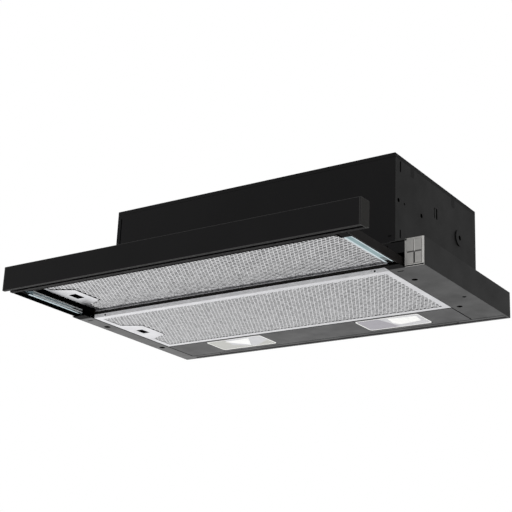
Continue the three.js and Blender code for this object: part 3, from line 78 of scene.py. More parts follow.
camera_data = bpy.data.cameras.new("camera")
camera_data.lens = 87.311
camera_data.sensor_width = 36
camera = bpy.data.objects.new("camera", camera_data)
camera.location = (0.9926008, -1.4376755, -0.5205096)
camera.rotation_euler = (math.radians(108.84247), math.radians(-2.35001), math.radians(34.01858))
bpy.context.scene.collection.objects.link(camera)
bpy.context.scene.camera = camera
bpy.context.scene.view_settings.view_transform = "Standard"

# ---------------------------------------------------------------------------------------------
# Materials
# ---------------------------------------------------------------------------------------------


class Graph:
    """A node tree, built up step by step."""

    def __init__(self, tree):
        self.tree = tree

    def add(self, kind, **settings):
        node = self.tree.nodes.new(kind)
        for key, value in settings.items():
            setattr(node, key, value)
        return node

    def feed(self, node, socket, value):
        """A number or colour is set on the socket, and an output is linked to it."""
        target = node.inputs[socket]
        if isinstance(value, bpy.types.NodeSocket):
            self.tree.links.new(value, target)
        else:
            target.default_value = value

    def span(self, value, low, high, start=0.3, end=0.7, shape="LINEAR"):
        """Maps start..end of a value to low..high."""
        node = self.add("ShaderNodeMapRange", interpolation_type=shape)
        self.feed(node, "Value", value)
        self.feed(node, "From Min", start)
        self.feed(node, "From Max", end)
        self.feed(node, "To Min", low)
        self.feed(node, "To Max", high)
        return node.outputs["Result"]


class Finish(Graph):
    """A material made of procedural patterns."""

    def __init__(self, name):
        self.material = bpy.data.materials.new(name)
        self.material.use_nodes = True
        super().__init__(self.material.node_tree)
        self.shader = self.tree.nodes["Principled BSDF"]
        self.place = self.add("ShaderNodeTexCoord").outputs["Object"]

    def made(self, **values):
        """Sets the shader's sockets and gives the material."""
        for key, value in values.items():
            self.feed(self.shader, key.replace("_", " "), value)
        return self.material

    def across(self):
        """The place along x, in metres."""
        parts = self.add("ShaderNodeSeparateXYZ")
        self.feed(parts, 0, self.place)
        return parts.outputs["X"]

    def stretched(self, scale):
        mapping = self.add("ShaderNodeMapping")
        self.feed(mapping, "Vector", self.place)
        self.feed(mapping, "Scale", scale)
        return mapping.outputs["Vector"]

    def noise(self, scale, detail=3, stretch=(1, 1, 1)):
        node = self.add("ShaderNodeTexNoise")
        self.feed(node, "Vector", self.stretched(stretch))
        self.feed(node, "Scale", scale)
        self.feed(node, "Detail", detail)
        return node.outputs["Fac"]

    def cells(self, scale, stretch=(1, 1, 1), feature="F1"):
        node = self.add("ShaderNodeTexVoronoi", feature=feature)
        self.feed(node, "Vector", self.stretched(stretch))
        self.feed(node, "Scale", scale)
        return node.outputs["Distance"]

    def blend(self, share, first, second):
        node = self.add("ShaderNodeMix", data_type="RGBA")
        self.feed(node, 0, share)
        self.feed(node, 6, (*first, 1) if isinstance(first, tuple) else first)
        self.feed(node, 7, (*second, 1) if isinstance(second, tuple) else second)
        return node.outputs[2]

    def mottled(self, pattern, colour, dark, light):
        """A colour that a pattern makes darker and lighter."""
        return self.blend(self.span(pattern, 0, 1), tinted(colour, dark), tinted(colour, light))

    def bump(self, height, distance, under=None):
        """The normal of a pattern of small heights, which may lie on another one."""
        node = self.add("ShaderNodeBump")
        self.feed(node, "Height", height)
        self.feed(node, "Distance", distance)
        if under is not None:
            self.feed(node, "Normal", under)
        return node.outputs["Normal"]


def tinted(colour, share):
    return tuple(min(1, share * c) for c in colour)


PAINTED_LIGHT_END_FACE = (0.29865, 0.29895)  # the right end cap's outer face starts between these, in metres; painted light makes it paler


def powder_coat(name, colour, specular, roughness, peel=0.00002, painted_light_end_colour=None):
    """Baked enamel: fine orange peel, a finer grain on it and a faint cloudiness. It may have
    painted light: a paler colour on the right end's outer face."""
    finish = Finish(name)
    coat = finish.mottled(finish.noise(9, 4), colour, 0.85, 1.18)
    if painted_light_end_colour:
        coat = finish.blend(finish.span(finish.across(), 0, 1, *PAINTED_LIGHT_END_FACE), coat, painted_light_end_colour)
    orange_peel = finish.bump(finish.noise(900, 2), peel)
    return finish.made(
        Base_Color=coat,
        Roughness=finish.span(finish.noise(26, 5), roughness - 0.05, roughness + 0.06),
        Specular_IOR_Level=specular,
        Normal=finish.bump(finish.noise(4200, 1), peel / 4, orange_peel),
    )


def plated(name, colour, roughness, along="y", streak=0.08):
    """Plated or rolled metal, with fine streaks along one axis."""
    finish = Finish(name)
    stretch = {"x": (0.03, 1, 1), "y": (1, 0.03, 1)}[along]
    streaks = finish.noise(1500, 3, stretch)
    return finish.made(
        Base_Color=finish.mottled(streaks, colour, 1 - 1.5 * streak, 1 + streak),
        Metallic=1.0,
        Roughness=finish.span(finish.noise(40, 4), roughness - 0.06, roughness + 0.08),
        Normal=finish.bump(streaks, 0.000006),
    )


def moulded(name, colour, roughness, specular=0.4, grain=0.00002):
    """Moulded plastic: spark-eroded grain and slight mottling."""
    finish = Finish(name)
    return finish.made(
        Base_Color=finish.mottled(finish.noise(60, 3), colour, 0.9, 1.06),
        Roughness=finish.span(finish.noise(300, 3), roughness - 0.06, roughness + 0.06),
        Specular_IOR_Level=specular,
        Normal=finish.bump(finish.noise(2600, 2), grain),
    )


def filter_backing(name, pale):
    """The filter's inner layers behind the front layer, with painted shade: each diamond darkens to
    near-black at its centre, where the inner layers lie in shade.
    """
    finish = Finish(name)
    rows = finish.cells(300, (1, 1.5, 1))
    depth = finish.span(rows, 0.0, 0.6, 0.1, 0.6)
    return finish.made(
        Base_Color=finish.blend(depth, (0.012, 0.012, 0.013), (pale, pale, pale * 1.03)),
        Metallic=0.9,
        Roughness=finish.span(finish.noise(120, 3), 0.35, 0.55),
        Normal=finish.bump(rows, 0.0006),
    )


def strand_metal():
    """The bright aluminium of the filters' front layer."""
    finish = Finish("expanded_metal")
    mottle = finish.span(finish.noise(90, 4), 0, 1)
    return finish.made(
        Base_Color=finish.blend(mottle, (0.70, 0.70, 0.71), (0.84, 0.84, 0.85)),
        Metallic=1.0,
        Roughness=finish.span(finish.noise(500, 2), 0.28, 0.42),
        Normal=finish.bump(finish.noise(2500, 2), 0.00001),
    )


def glow(name, colour, strength):
    """A facet of a faintly lit lamp's reflector, seen through the frosted lens, drawn as a glowing
    patch of painted highlight.
    """
    finish = Finish(name)
    return finish.made(
        Base_Color=finish.mottled(finish.noise(70, 3), colour, 0.96, 1),
        Roughness=finish.span(finish.noise(400, 2), 0.3, 0.4),
        Normal=finish.bump(finish.noise(2600, 2), 0.00001),
        Emission_Color=(*colour, 1),
        Emission_Strength=strength,
    )


def circuit_board():
    """Green lacquer over paler tracks."""
    finish = Finish("circuit_board")
    tracks = finish.cells(420, (1, 1, 1), "DISTANCE_TO_EDGE")
    lacquer = finish.span(tracks, 1, 0, 0.02, 0.06)
    return finish.made(
        Base_Color=finish.blend(lacquer, (0.02, 0.12, 0.06), (0.05, 0.22, 0.12)),
        Roughness=finish.span(finish.noise(200, 2), 0.3, 0.45),
        Normal=finish.bump(tracks, 0.00003),
    )


BLACK = (0.0042, 0.0040, 0.0044)

# The finish of each material slot
MATERIALS = {
    "black_paint": powder_coat("black_paint", BLACK, 0.10, 0.36),
    "side_paint": powder_coat("side_paint", (0.0044, 0.0043, 0.0044), 0.30, 0.42, 0.00003),
    # The warm tint of the drawer's black paint is painted reflection: the brownish sheen seen on
    # its outer faces.
    "drawer_paint": powder_coat("drawer_paint", (0.0085, 0.0070, 0.0066), 0.10, 0.42),
    "lamp_paint": powder_coat("lamp_paint", (0.014, 0.0135, 0.0155), 0.36, 0.42, 0.00003),
    "zinc": plated("zinc", (0.60, 0.70, 0.74), 0.26),
    "dark_steel": plated("dark_steel", (0.10, 0.11, 0.115), 0.34),
    "filter_frame": plated("filter_frame", (0.69, 0.69, 0.71), 0.34, "x", 0.04),
    "filter_mesh": filter_backing("filter_backing", 0.30),
    "black_plastic": moulded("black_plastic", (0.004, 0.004, 0.004), 0.46, 0.01),
    "grey_plastic": moulded("grey_plastic", (0.370, 0.363, 0.350), 0.5, 0.3),
    "white_plastic": moulded("white_plastic", (0.66, 0.66, 0.64), 0.5),
    "lens": moulded("lens", (0.42, 0.41, 0.44), 0.3, 0.3),
    "circuit_board": circuit_board(),
    "rubber": moulded("rubber", (0.006, 0.006, 0.006), 0.7, 0.12, 0.00004),
}

# Finishes of single pieces and of added ones
STRANDS = strand_metal()
# Painted light: a paler, glossier copy of the side paint for the left rail, whose flange catches
# more light than the right one.
LEFT_RAIL_PAINTED_LIGHT = powder_coat("left_rail_painted_light", (0.013, 0.0128, 0.0126), 0.62, 0.42, 0.00003)
CASING_PAINT = powder_coat("casing_paint", (0.0034, 0.0033, 0.0034), 0.26, 0.44, 0.00003)
# Painted light: the right end cap's outer face is paler than its other faces, as if lit more.
CAP_PAINT_WITH_PAINTED_LIGHT = powder_coat("cap_paint_with_painted_light", BLACK, 0.10, 0.36, painted_light_end_colour=(0.026, 0.025, 0.023))
DULL = powder_coat("dull_black", (0.0030, 0.0027, 0.0026), 0.02, 0.5)
# Painted highlight: a paler colour on the rounded edges of the fascia and its end caps, for the
# light they catch.
EDGE_PAINTED_HIGHLIGHT = moulded("edge_painted_highlight", (0.045, 0.044, 0.044), 0.4, 0.15, 0.00001)
# Painted shade: duller strips for the fascia's heel and nose, so that they render darker.
HEEL_PAINTED_SHADE = moulded("fascia_heel_painted_shade", (0.010, 0.0095, 0.010), 0.5, 0.05)
NOSE_PAINTED_SHADE = moulded("fascia_nose_painted_shade", (0.020, 0.0195, 0.020), 0.5, 0.06)
# Near-black without gloss: the black of screws and joints, and painted shade in holes, gaps,
# creases and recesses and on the left drawer channel.
DARK = moulded("black_and_painted_shade", (0.0015, 0.0015, 0.0015), 0.6, 0.0)
BEZEL = moulded("bezel_plastic", (0.62, 0.61, 0.59), 0.5, 0.3)
SEAM = moulded("seam_grey", (0.10, 0.098, 0.095), 0.6, 0.1)
# Painted light: a near-white non-metal for the rear filter's rolled front edge, paler than the
# frame's aluminium.
FRONT_FACE_PAINTED_LIGHT = moulded("front_face_painted_light", (0.93, 0.93, 0.95), 0.35, 0.5, 0.00001)
# Painted light: a near-white non-metal for the left slide's zinc lips, standing in for their bright
# reflection.
LIP_PAINTED_LIGHT = moulded("slide_lip_painted_light", (0.92, 0.97, 0.99), 0.32, 0.6, 0.00001)
TEAL = plated("slide_groove", (0.22, 0.34, 0.36), 0.3)
# Painted shade: a darker copy of the groove's colour, for its part towards the rear.
TEAL_SHADE = plated("slide_groove_shade", (0.07, 0.11, 0.12), 0.3)

# ---------------------------------------------------------------------------------------------
# The CAD pieces: rounded edges and a finish each
# ---------------------------------------------------------------------------------------------

OWN_FINISH = {
    "control_bezel": BEZEL,
    # Painted shade: the left drawer channel is near-black, where the right one keeps the drawer's
    # paint.
    "drawer_left_channel": DARK,
    "casing_top_panel": MATERIALS["black_paint"],
    "casing_right_side": CASING_PAINT,
    "casing_left_side": CASING_PAINT,
    "cable_grommet": CASING_PAINT,
    "fascia_end_cap_right": CAP_PAINT_WITH_PAINTED_LIGHT,
    "frame_left_rail": LEFT_RAIL_PAINTED_LIGHT,
    # Painted shade: the front filter's inner layers are darker than the rear's.
    "front_filter_mesh": filter_backing("front_filter_backing_painted_shade", 0.12),
}
PAINTED_HIGHLIGHT_EDGES = ("fascia", "fascia_end_cap_left", "fascia_end_cap_right")
EDGE_WIDTH = {
    "fascia": 0.5,
    "fascia_end_cap_right": 0.5,
    "fascia_end_cap_left": 0.5,
    "casing_front_panel": 0.25,
    "impeller": 0.15,
}
USUAL_EDGE_WIDTH = 0.2
WELD_REACH = 0.002
FLAT_ANGLE = math.radians(0.6)
EDGE_ANGLE = math.radians(32)


def soften(node, width):
    """Rounds a CAD node's edges with modifiers and leaves its own vertices alone."""
    weld = node.modifiers.new("weld", "WELD")
    weld.merge_threshold = WELD_REACH * MM
    flat = node.modifiers.new("flat", "DECIMATE")
    flat.decimate_type = "DISSOLVE"
    flat.angle_limit = FLAT_ANGLE
    bevel = node.modifiers.new("bevel", "BEVEL")
    bevel.width = width * MM
    bevel.segments = 2
    bevel.limit_method = "ANGLE"
    bevel.angle_limit = EDGE_ANGLE
    bevel.harden_normals = True
    bevel.use_clamp_overlap = True
    bevel.miter_outer = "MITER_SHARP"


for name, node in NODES.items():
    mesh = node.data
    if "custom_normal" in mesh.attributes:
        mesh.attributes.remove(mesh.attributes["custom_normal"])
    mesh.shade_smooth()
    mesh.materials.clear()
    mesh.materials.append(OWN_FINISH.get(name, MATERIALS[SLOT_OF[name]]))
    soften(node, EDGE_WIDTH.get(name, USUAL_EDGE_WIDTH))
    # the rounded edges of these pieces get the painted highlight
    if name in PAINTED_HIGHLIGHT_EDGES:
        mesh.materials.append(EDGE_PAINTED_HIGHLIGHT)
        node.modifiers["bevel"].material = 1

# ---------------------------------------------------------------------------------------------
# Building blocks for added pieces
# ---------------------------------------------------------------------------------------------

PROUD = 0.06  # how far a thin trim stands out of the surface that it marks
SUNK = 0.1  # and how far it reaches into it
UNDERSIDE = (-0.03, SUNK)  # the same for trims on the underside, as heights


def solid(name, vertices, faces, material, body, smooth=None):
    """A new piece from points in metres, which rides on a CAD body."""
    mesh = bpy.data.meshes.new(name)
    mesh.from_pydata([tuple(v) for v in vertices], [], faces)
    mesh.validate()
    shape = bmesh.new()
    shape.from_mesh(mesh)
    bmesh.ops.recalc_face_normals(shape, faces=shape.faces)
    shape.to_mesh(mesh)
    shape.free()
    mesh.materials.append(material)
    if smooth is not None:
        mesh.shade_smooth()
        mesh.set_sharp_from_angle(angle=math.radians(smooth))
    piece = bpy.data.objects.new(name, mesh)
    bpy.context.scene.collection.objects.link(piece)
    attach(piece, body)
    return piece


PLACE_ALONG = {
    "x": lambda u, v, w: (w, u, v),
    "y": lambda u, v, w: (u, w, v),
    "z": lambda u, v, w: (u, v, w),
}


def bar(name, axis, start, end, outline, slot, body="hood", material=None):
    """A prism along an axis. Its outline is in the two other axes, in the order x, y, z."""
    count = len(outline)
    vertices = [at(*PLACE_ALONG[axis](u, v, w)) for w in (start, end) for u, v in outline]
    faces = [tuple(range(count)), tuple(range(2 * count - 1, count - 1, -1))]
    for k in range(count):
        n = (k + 1) % count
        faces.append((k, n, count + n, count + k))
    return solid(name, vertices, faces, material or MATERIALS[slot], body)


def shadow(name, axis, start, end, outline, body="hood"):
    """A near-black bar: painted shade in a hole, a gap or a crease, or a black part."""
    bar(name, axis, start, end, outline, "black_plastic", body, DARK)


def crease(name, start, end, width, heights, body):
    """A dark strip of painted shade between two points of x and y."""
    start, end = Vector(start), Vector(end)
    side = (end - start).normalized().orthogonal() * width / 2
    points = [tuple(start + side), tuple(end + side), tuple(end - side), tuple(start - side)]
    shadow(name, "z", *heights, points, body)


def ring(name, outer, inner, heights, material):
    """A flat ring between two outlines of x and y, between two heights."""
    count = len(outer)
    vertices = [at(x, y, z) for z in heights for loop in (outer, inner) for x, y in loop]
    faces = []
    for k in range(count):
        n = (k + 1) % count
        for a, b in ((0, 1), (1, 3), (3, 2), (2, 0)):
            faces.append((a * count + k, a * count + n, b * count + n, b * count + k))
    solid(name, vertices, faces, material, "hood")


def rectangle(x, y):
    return [(x[0], y[0]), (x[1], y[0]), (x[1], y[1]), (x[0], y[1])]


def circle(x, y, radius, steps=24):
    turns = [math.tau * k / steps for k in range(steps)]
    return [(x + radius * math.cos(turn), y + radius * math.sin(turn)) for turn in turns]


def rounded(outline, radius, steps=4):
    """The same outline with an arc at each corner."""
    points = []
    for k, corner in enumerate(outline):
        corner = Vector(corner)
        before = Vector(outline[k - 1]) - corner
        after = Vector(outline[(k + 1) % len(outline)]) - corner
        first = corner + before.normalized() * radius
        last = corner + after.normalized() * radius
        for step in range(steps + 1):
            t = step / steps
            points.append(tuple(first * (1 - t) ** 2 + corner * 2 * t * (1 - t) + last * t**2))
    return points


# ---------------------------------------------------------------------------------------------
# Filters: the front layer of expanded metal
# ---------------------------------------------------------------------------------------------

CELL_ACROSS = 6.2  # a diamond's size along x
CELL_ALONG = 11.5  # and along y
STRAND_WIDTH = 1.0
STRAND_THICKNESS = 0.35
STRAND_TILT = math.radians(34)
TILT_DRIFT = 0.25
CELL_DRIFT = 0.35  # how unevenly the metal is drawn out
FILTER_RIM = 10
FILTER_TABS = 3.9  # stand out to the right of each filter's rim
RIM_DEPTH = 6
PLATE_REACH = 32  # the latch plate's size along x
PLATE_HALF = (43, 28)  # and half its width, at the rim and at its end
# The sheet's margins at the left end, where it is twice the right end's, the front and the rear
SHEET_MARGIN = {"front": (10, 3, 2.5), "rear": (10, 10, 10)}
SHEET_HEIGHT = {"front": -0.2, "rear": 0.55}  # of the strands above the rim's underside


def strand(start, end, tilt):
    """The corners of a flat strand between two points."""
    along = (end - start).normalized()
    side = along.cross(Vector((0, 0, 1))).normalized()
    up = side.cross(along)
    wide = (side * math.cos(tilt) + up * math.sin(tilt)) * STRAND_WIDTH / 2
    thick = (up * math.cos(tilt) - side * math.sin(tilt)) * STRAND_THICKNESS / 2
    return [
        at(*(point + wide * a + thick * b))
        for point in (start, end)
        for a, b in ((1, 1), (-1, 1), (-1, -1), (1, -1))
    ]


def expanded_sheet(name, x, y, z, skip, body):
    """Diamonds of tilted strands over the rectangle x by y at height z, but not where skip says."""
    chance = random.Random(name)
    columns = round((x[1] - x[0]) / (CELL_ACROSS / 2))
    rows = round((y[1] - y[0]) / (CELL_ALONG / 2))

    def knot(column, row):
        inside = 0 < column < columns and 0 < row < rows
        drift = CELL_DRIFT if inside else 0
        return (
            x[0] + (x[1] - x[0]) * column / columns + chance.uniform(-drift, drift),
            y[0] + (y[1] - y[0]) * row / rows + chance.uniform(-2 * drift, 2 * drift),
            z,
        )

    knots = {(c, r): knot(c, r) for c in range(columns + 1) for r in range(rows + 1)}
    vertices = []
    faces = []
    for row in range(rows):
        for column in range(columns):
            rising = (row + column) % 2 == 0
            start_row, end_row = (row, row + 1) if rising else (row + 1, row)
            start = Vector(knots[column, start_row])
            end = Vector(knots[column + 1, end_row])
            tilt = STRAND_TILT + chance.uniform(-TILT_DRIFT, TILT_DRIFT)
            if skip(*((start + end) / 2).xy):
                continue
            first = len(vertices)
            vertices += strand(start, end, tilt if rising else -tilt)
            for k in range(4):
                n = (k + 1) % 4
                faces.append((first + k, first + n, first + 4 + n, first + 4 + k))
    solid(name, vertices, faces, STRANDS, body)


def rim_box(which):
    """A filter's rim without its tabs: (x0, x1), (y0, y1) and the height of its underside."""
    (x0, x1), y, (_, top) = node_box(f"{which}_filter_frame")
    return (x0, x1 - FILTER_TABS), y, top - RIM_DEPTH


def filter_sheet(which):
    (x0, x1), (y0, y1), bottom = rim_box(which)
    end, near, far = SHEET_MARGIN[which]
    plate_edge = x0 + FILTER_RIM + PLATE_REACH

    def under_plate(u, v):
        share = (u - x0 - FILTER_RIM) / PLATE_REACH
        half = PLATE_HALF[0] + (PLATE_HALF[1] - PLATE_HALF[0]) * max(0, share)
        return u < plate_edge and abs(v - (y0 + y1) / 2) < half

    expanded_sheet(
        f"{which}_filter_expanded_sheet",
        (x0 + end, x1 - end / 2),
        (y0 + near, y1 - far),
        bottom + SHEET_HEIGHT[which],
        under_plate,
        f"{which}_filter",
    )


filter_sheet("front")
filter_sheet("rear")

# ---------------------------------------------------------------------------------------------
# Slides: end blocks and noses, lips in painted light, painted shade over the rear, and grooves of
# the drawer's members
# ---------------------------------------------------------------------------------------------

BLOCK_WALL = 1.2
BLOCK_GAP = 0.3  # between the end block and the fascia
SLIDE_NOSE = 8  # of the drawer member in front of its CAD solid
SLIDE_SHADE_START = -14  # where the painted shade over the left member's rear starts
SLIDE_TAIL = 2  # of the member, behind its painted shade or groove
SHADE_DROP = 1  # of the painted shade's top below the member's
LIP_WALL = 1.2
LIP_INSET = 2
LIP_GAP = (6.7, 9.2)  # the heights between the left member's two lips
CHANNEL_LIP = (4, 7.5)  # its left side from the channel's left edge, its right from the member's
CHANNEL_LIP_BOTTOM = 2.05
CHANNEL_LIP_GAP = 0.15
GROOVE_PROUD = 0.08
GROOVE_START = 2  # behind the left member's front
LEFT_GROOVE = (9.2, 9.8)  # from the left member's left edge
RIGHT_GROOVE = (3.0, 1.9)  # in from the right member's left and right edges
# painted shade on the right groove: darker from the first, near-black from the second
RIGHT_GROOVE_SHADE = (-44, -30)


def slide_end_block(side):
    """A black plastic channel that holds the drawer member's front end to the fascia."""
    (x0, x1), (y0, _), (z0, z1) = node_box(f"slide_drawer_member_{side}")
    fascia_rear = node_box("fascia")[1][1]
    back, mouth = (x1, x0) if side == "right" else (x0, x1)
    wall = math.copysign(BLOCK_WALL, mouth - back)
    outline = [
        (back, z0),
        (mouth, z0),
        (mouth, z0 + BLOCK_WALL),
        (back + wall, z0 + BLOCK_WALL),
        (back + wall, z1 - BLOCK_WALL),
        (mouth, z1 - BLOCK_WALL),
        (mouth, z1),
        (back, z1),
    ]
    front = fascia_rear + BLOCK_GAP
    nose = y0 - SLIDE_NOSE
    bar(f"slide_end_block_{side}", "y", front, nose, outline, "black_plastic", "drawer")
    bar(f"slide_nose_{side}", "y", nose, y0, outline, "zinc", "drawer")


def left_slide_details():
    """The left member's deep lips in near-white painted light, painted shade over its rear, its
    groove, and its channel's inner lip in near-black painted shade.
    """
    (x0, x1), (y0, y1), (z0, z1) = node_box("slide_drawer_member_left")
    for name, heights in (
        ("lower", (z0 + LIP_INSET, LIP_GAP[0])),
        ("upper", (LIP_GAP[1], z1 - LIP_INSET)),
    ):
        # the lips are near-white: painted light on the zinc
        lip = rectangle((x1 - LIP_WALL, x1), heights)
        bar(f"slide_{name}_lip_left", "y", y0, SLIDE_SHADE_START, lip, "zinc", "drawer", LIP_PAINTED_LIGHT)
    shade_outline = [
        (x0 + SUNK, z0 - PROUD),
        (x1 + PROUD, z0 - PROUD),
        (x1 + PROUD, z1 - SHADE_DROP),
        (x1 - SUNK, z1 - SHADE_DROP),
        (x1 - SUNK, z0 + SUNK),
        (x0 + SUNK, z0 + SUNK),
    ]
    shadow("slide_rear_shade_left", "y", SLIDE_SHADE_START, y1 - SLIDE_TAIL, shade_outline, "drawer")
    (edge, _), channel_y, _ = node_box("drawer_left_channel")
    start, end = CHANNEL_LIP
    outline = rectangle((edge + start, x0 + end), (CHANNEL_LIP_BOTTOM, z0 - CHANNEL_LIP_GAP))
    # Painted shade: the channel's lip is near-black, like the left channel.
    bar("drawer_left_channel_lip", "y", *channel_y, outline, "drawer_paint", "drawer", DARK)
    groove = rectangle([x0 + u for u in LEFT_GROOVE], (z0 - GROOVE_PROUD, z0 + SUNK))
    start, end = y0 + GROOVE_START, SLIDE_SHADE_START - 1
    bar("slide_groove_left", "y", start, end, groove, "zinc", "drawer", TEAL)


def right_slide_groove():
    """The right member's rolled groove, with painted shade that darkens it towards the rear."""
    (x0, x1), (y0, y1), (z0, _) = node_box("slide_drawer_member_right")
    left, right = RIGHT_GROOVE
    groove = rectangle((x0 + left, x1 - right), (z0 - GROOVE_PROUD, z0 + SUNK))
    shade, dark = RIGHT_GROOVE_SHADE
    for name, start, end, slot, material in (
        ("groove_right", y0 - SLIDE_NOSE + 1, shade, "zinc", TEAL),
        ("groove_right_shade", shade, dark, "dark_steel", TEAL_SHADE),
        ("groove_right_dark", dark, y1 - SLIDE_TAIL, "dark_steel", DULL),
    ):
        bar(f"slide_{name}", "y", start, end, groove, slot, "drawer", material)


slide_end_block("left")
slide_end_block("right")
left_slide_details()
right_slide_groove()

# ---------------------------------------------------------------------------------------------
# Fascia: what closes its groove at the right end, and painted shade on its underside
# ---------------------------------------------------------------------------------------------

FASCIA_GROOVE = (5, 15.5)  # behind the fascia's front
FASCIA_GROOVE_HEIGHTS = (0.15, 7.9)
END_WEB_WALL = 1.2
NOSE_STRIP = (0.7, 4.9)  # behind the fascia's front
NOSE_BOTTOM = 0
HEEL_STRIP = (15.6, 0.6)  # behind the fascia's front, and in front of its rear
HEEL_BOTTOM = 2


def fascia_end_web():
    (_, right), (front, _), _ = node_box("fascia_end_cap_right")
    groove = rectangle([front + v for v in FASCIA_GROOVE], FASCIA_GROOVE_HEIGHTS)
    start, end = right - END_WEB_WALL, right - PROUD
    bar("fascia_end_web_right", "x", start, end, groove, "drawer_paint", "drawer", CAP_PAINT_WITH_PAINTED_LIGHT)


def fascia_underside():
    """Strips of painted shade on the fascia's nose and heel, either side of its groove: less glossy
    than the fascia, so that they render darker.
    """
    (left, right), (front, rear), _ = node_box("fascia")
    nose = [front + v for v in NOSE_STRIP]
    heel = (front + HEEL_STRIP[0], rear - HEEL_STRIP[1])
    for name, y, bottom, material in (
        ("nose", nose, NOSE_BOTTOM, NOSE_PAINTED_SHADE),
        ("heel", heel, HEEL_BOTTOM, HEEL_PAINTED_SHADE),
    ):
        strip = rectangle(y, [bottom + height for height in UNDERSIDE])
        bar(f"fascia_{name}_strip", "x", left, right, strip, "drawer_paint", "drawer", material)


fascia_end_web()
fascia_underside()

# ---------------------------------------------------------------------------------------------
# Filters: creases, latch recesses, drain holes, folded edges and clip
# ---------------------------------------------------------------------------------------------

LOWEST = 0.02  # no crease or recess reaches below this height
CREASE_HEIGHTS = (-1.1, 0.9)  # about the rim's underside
RECESS_HEIGHTS = (-0.08, 0.3)
MESH_CREASE = 1.1
PLATE_SIDE_CREASE = 1.7
PLATE_END_CREASE = 1.2
PLATE_SIDE_OUT = 1.2  # from the plate's side to the middle of the crease beside it
PLATE_END_OUT = 0.6
PLATE_CORNER_OUT = 1  # from the plate's corners to the ends of the creases that meet there
LATCH_OPENING = (13.5, 20.5)
LATCH_OPENING_INSET = 10.5
LATCH_OPENING_CORNER = 1.5


def filter_details(which):
    """Dark strips of painted shade for the creases around the mesh and the latch plate, and for the
    recess behind the latch.
    """
    body = f"{which}_filter"
    (x0, x1), (y0, y1), bottom = rim_box(which)
    middle = (y0 + y1) / 2
    inner = x0 + FILTER_RIM
    tip = inner + PLATE_REACH
    wide, narrow = PLATE_HALF
    _, near, far = SHEET_MARGIN[which]
    start, end = y0 + near, y1 - far
    plate_front = (inner, middle - wide - PLATE_SIDE_OUT), (tip, middle - narrow - PLATE_SIDE_OUT)
    u = tip + PLATE_END_OUT
    plate_end = (u, middle - narrow - PLATE_CORNER_OUT), (u, middle + narrow)
    near_corner, far_corner = middle - wide - PLATE_CORNER_OUT, middle + wide + PLATE_CORNER_OUT
    creases = [
        ("plate_front", *plate_front, PLATE_SIDE_CREASE),
        ("plate_end", *plate_end, PLATE_END_CREASE),
        ("mesh_near", (inner, start), (inner, near_corner), MESH_CREASE),
        ("mesh_far", (inner, far_corner), (inner, end), MESH_CREASE),
    ]
    if which == "rear":
        creases.append(("mesh_rear", (inner, end), (x1 - FILTER_RIM / 2, end), MESH_CREASE))
    heights = (max(LOWEST, bottom + CREASE_HEIGHTS[0]), bottom + CREASE_HEIGHTS[1])
    for name, first, last, width in creases:
        crease(f"{which}_{name}_crease", first, last, width, heights, body)
    u, v = inner + LATCH_OPENING_INSET, middle
    along, across = (size / 2 for size in LATCH_OPENING)
    opening = rectangle((u - along, u + along), (v - across, v + across))
    opening = rounded(opening, LATCH_OPENING_CORNER)
    heights = (max(LOWEST, bottom + RECESS_HEIGHTS[0]), bottom + RECESS_HEIGHTS[1])
    shadow(f"{which}_latch_recess", "z", *heights, opening, body)


DRAIN_INSET = 22
DRAIN_RADIUS = 1.5
DRAIN_PROUD = 0.2
FACE_PROUD = 0.15
FACE_INSET = 0.4
FACE_EDGE = 0.2  # the rolled edge starts this far inside the rim's depth
FACE_ROLL = 1  # and is flat from here on


def rear_filter_face():
    """The rear filter's rolled front edge, near-white as painted light, with dark discs of painted
    shade for its two drain holes.
    """
    (x0, x1), (y0, _), (z0, z1) = node_box("rear_filter_frame")
    x1 -= FILTER_TABS
    face = y0 - FACE_PROUD
    outline = [
        (y0, z0 + FACE_EDGE),
        (face, z0 + FACE_ROLL),
        (face, z1 - FACE_ROLL),
        (y0, z1 - FACE_EDGE),
    ]
    start, end = x0 + FACE_INSET, x1 - FACE_INSET
    bar("rear_filter_front_face", "x", start, end, outline, "filter_frame", "rear_filter", FRONT_FACE_PAINTED_LIGHT)
    for side, x in (("left", x0 + DRAIN_INSET), ("right", x1 - DRAIN_INSET)):
        hole = circle(x, (z0 + z1) / 2, DRAIN_RADIUS)
        shadow(f"rear_filter_drain_{side}", "y", y0 - DRAIN_PROUD, y0, hole, "rear_filter")


LIP_SHADE = (4.15, 3.9)  # in front of the front filter's rear
LIP_SHADE_BOTTOM = 0.3
LIP_SHADE_INSET = 1
CLIP_FRONT = 0.3  # behind the front filter's front
CLIP_DEPTH = (7, 6.05)  # below the front filter's top
CLIP_CORNER = 1


def front_filter_lip():
    """The shaded front of the front filter's folded rear edge."""
    (x0, x1), (_, y1), (z0, z1) = node_box("front_filter_frame")
    outline = rectangle([y1 - v for v in LIP_SHADE], (z0 + LIP_SHADE_BOTTOM, z1 - RIM_DEPTH))
    start, end = x0 + LIP_SHADE_INSET, x1 - FILTER_TABS - LIP_SHADE_INSET
    bar("front_filter_lip_shade", "x", start, end, outline, "filter_mesh", "front_filter")


def front_filter_clip():
    """The black clip on the front filter's right front tab."""
    _, (y0, _), (_, z1) = node_box("front_filter_frame")
    front = y0 + CLIP_FRONT
    outline = [
        (240, -103.5),
        (236.5, -114),
        (229, front),
        (250.7, front),
        (250.7, -109),
        (246.3, -100.5),
    ]
    heights = [z1 - depth for depth in CLIP_DEPTH]
    shadow("front_filter_clip", "z", *heights, rounded(outline, CLIP_CORNER), "front_filter")


filter_details("front")
filter_details("rear")
rear_filter_face()
front_filter_lip()
front_filter_clip()

# ---------------------------------------------------------------------------------------------
# Casing and underside: slots, holes, pressed marks, seams, and the control's sill
# ---------------------------------------------------------------------------------------------

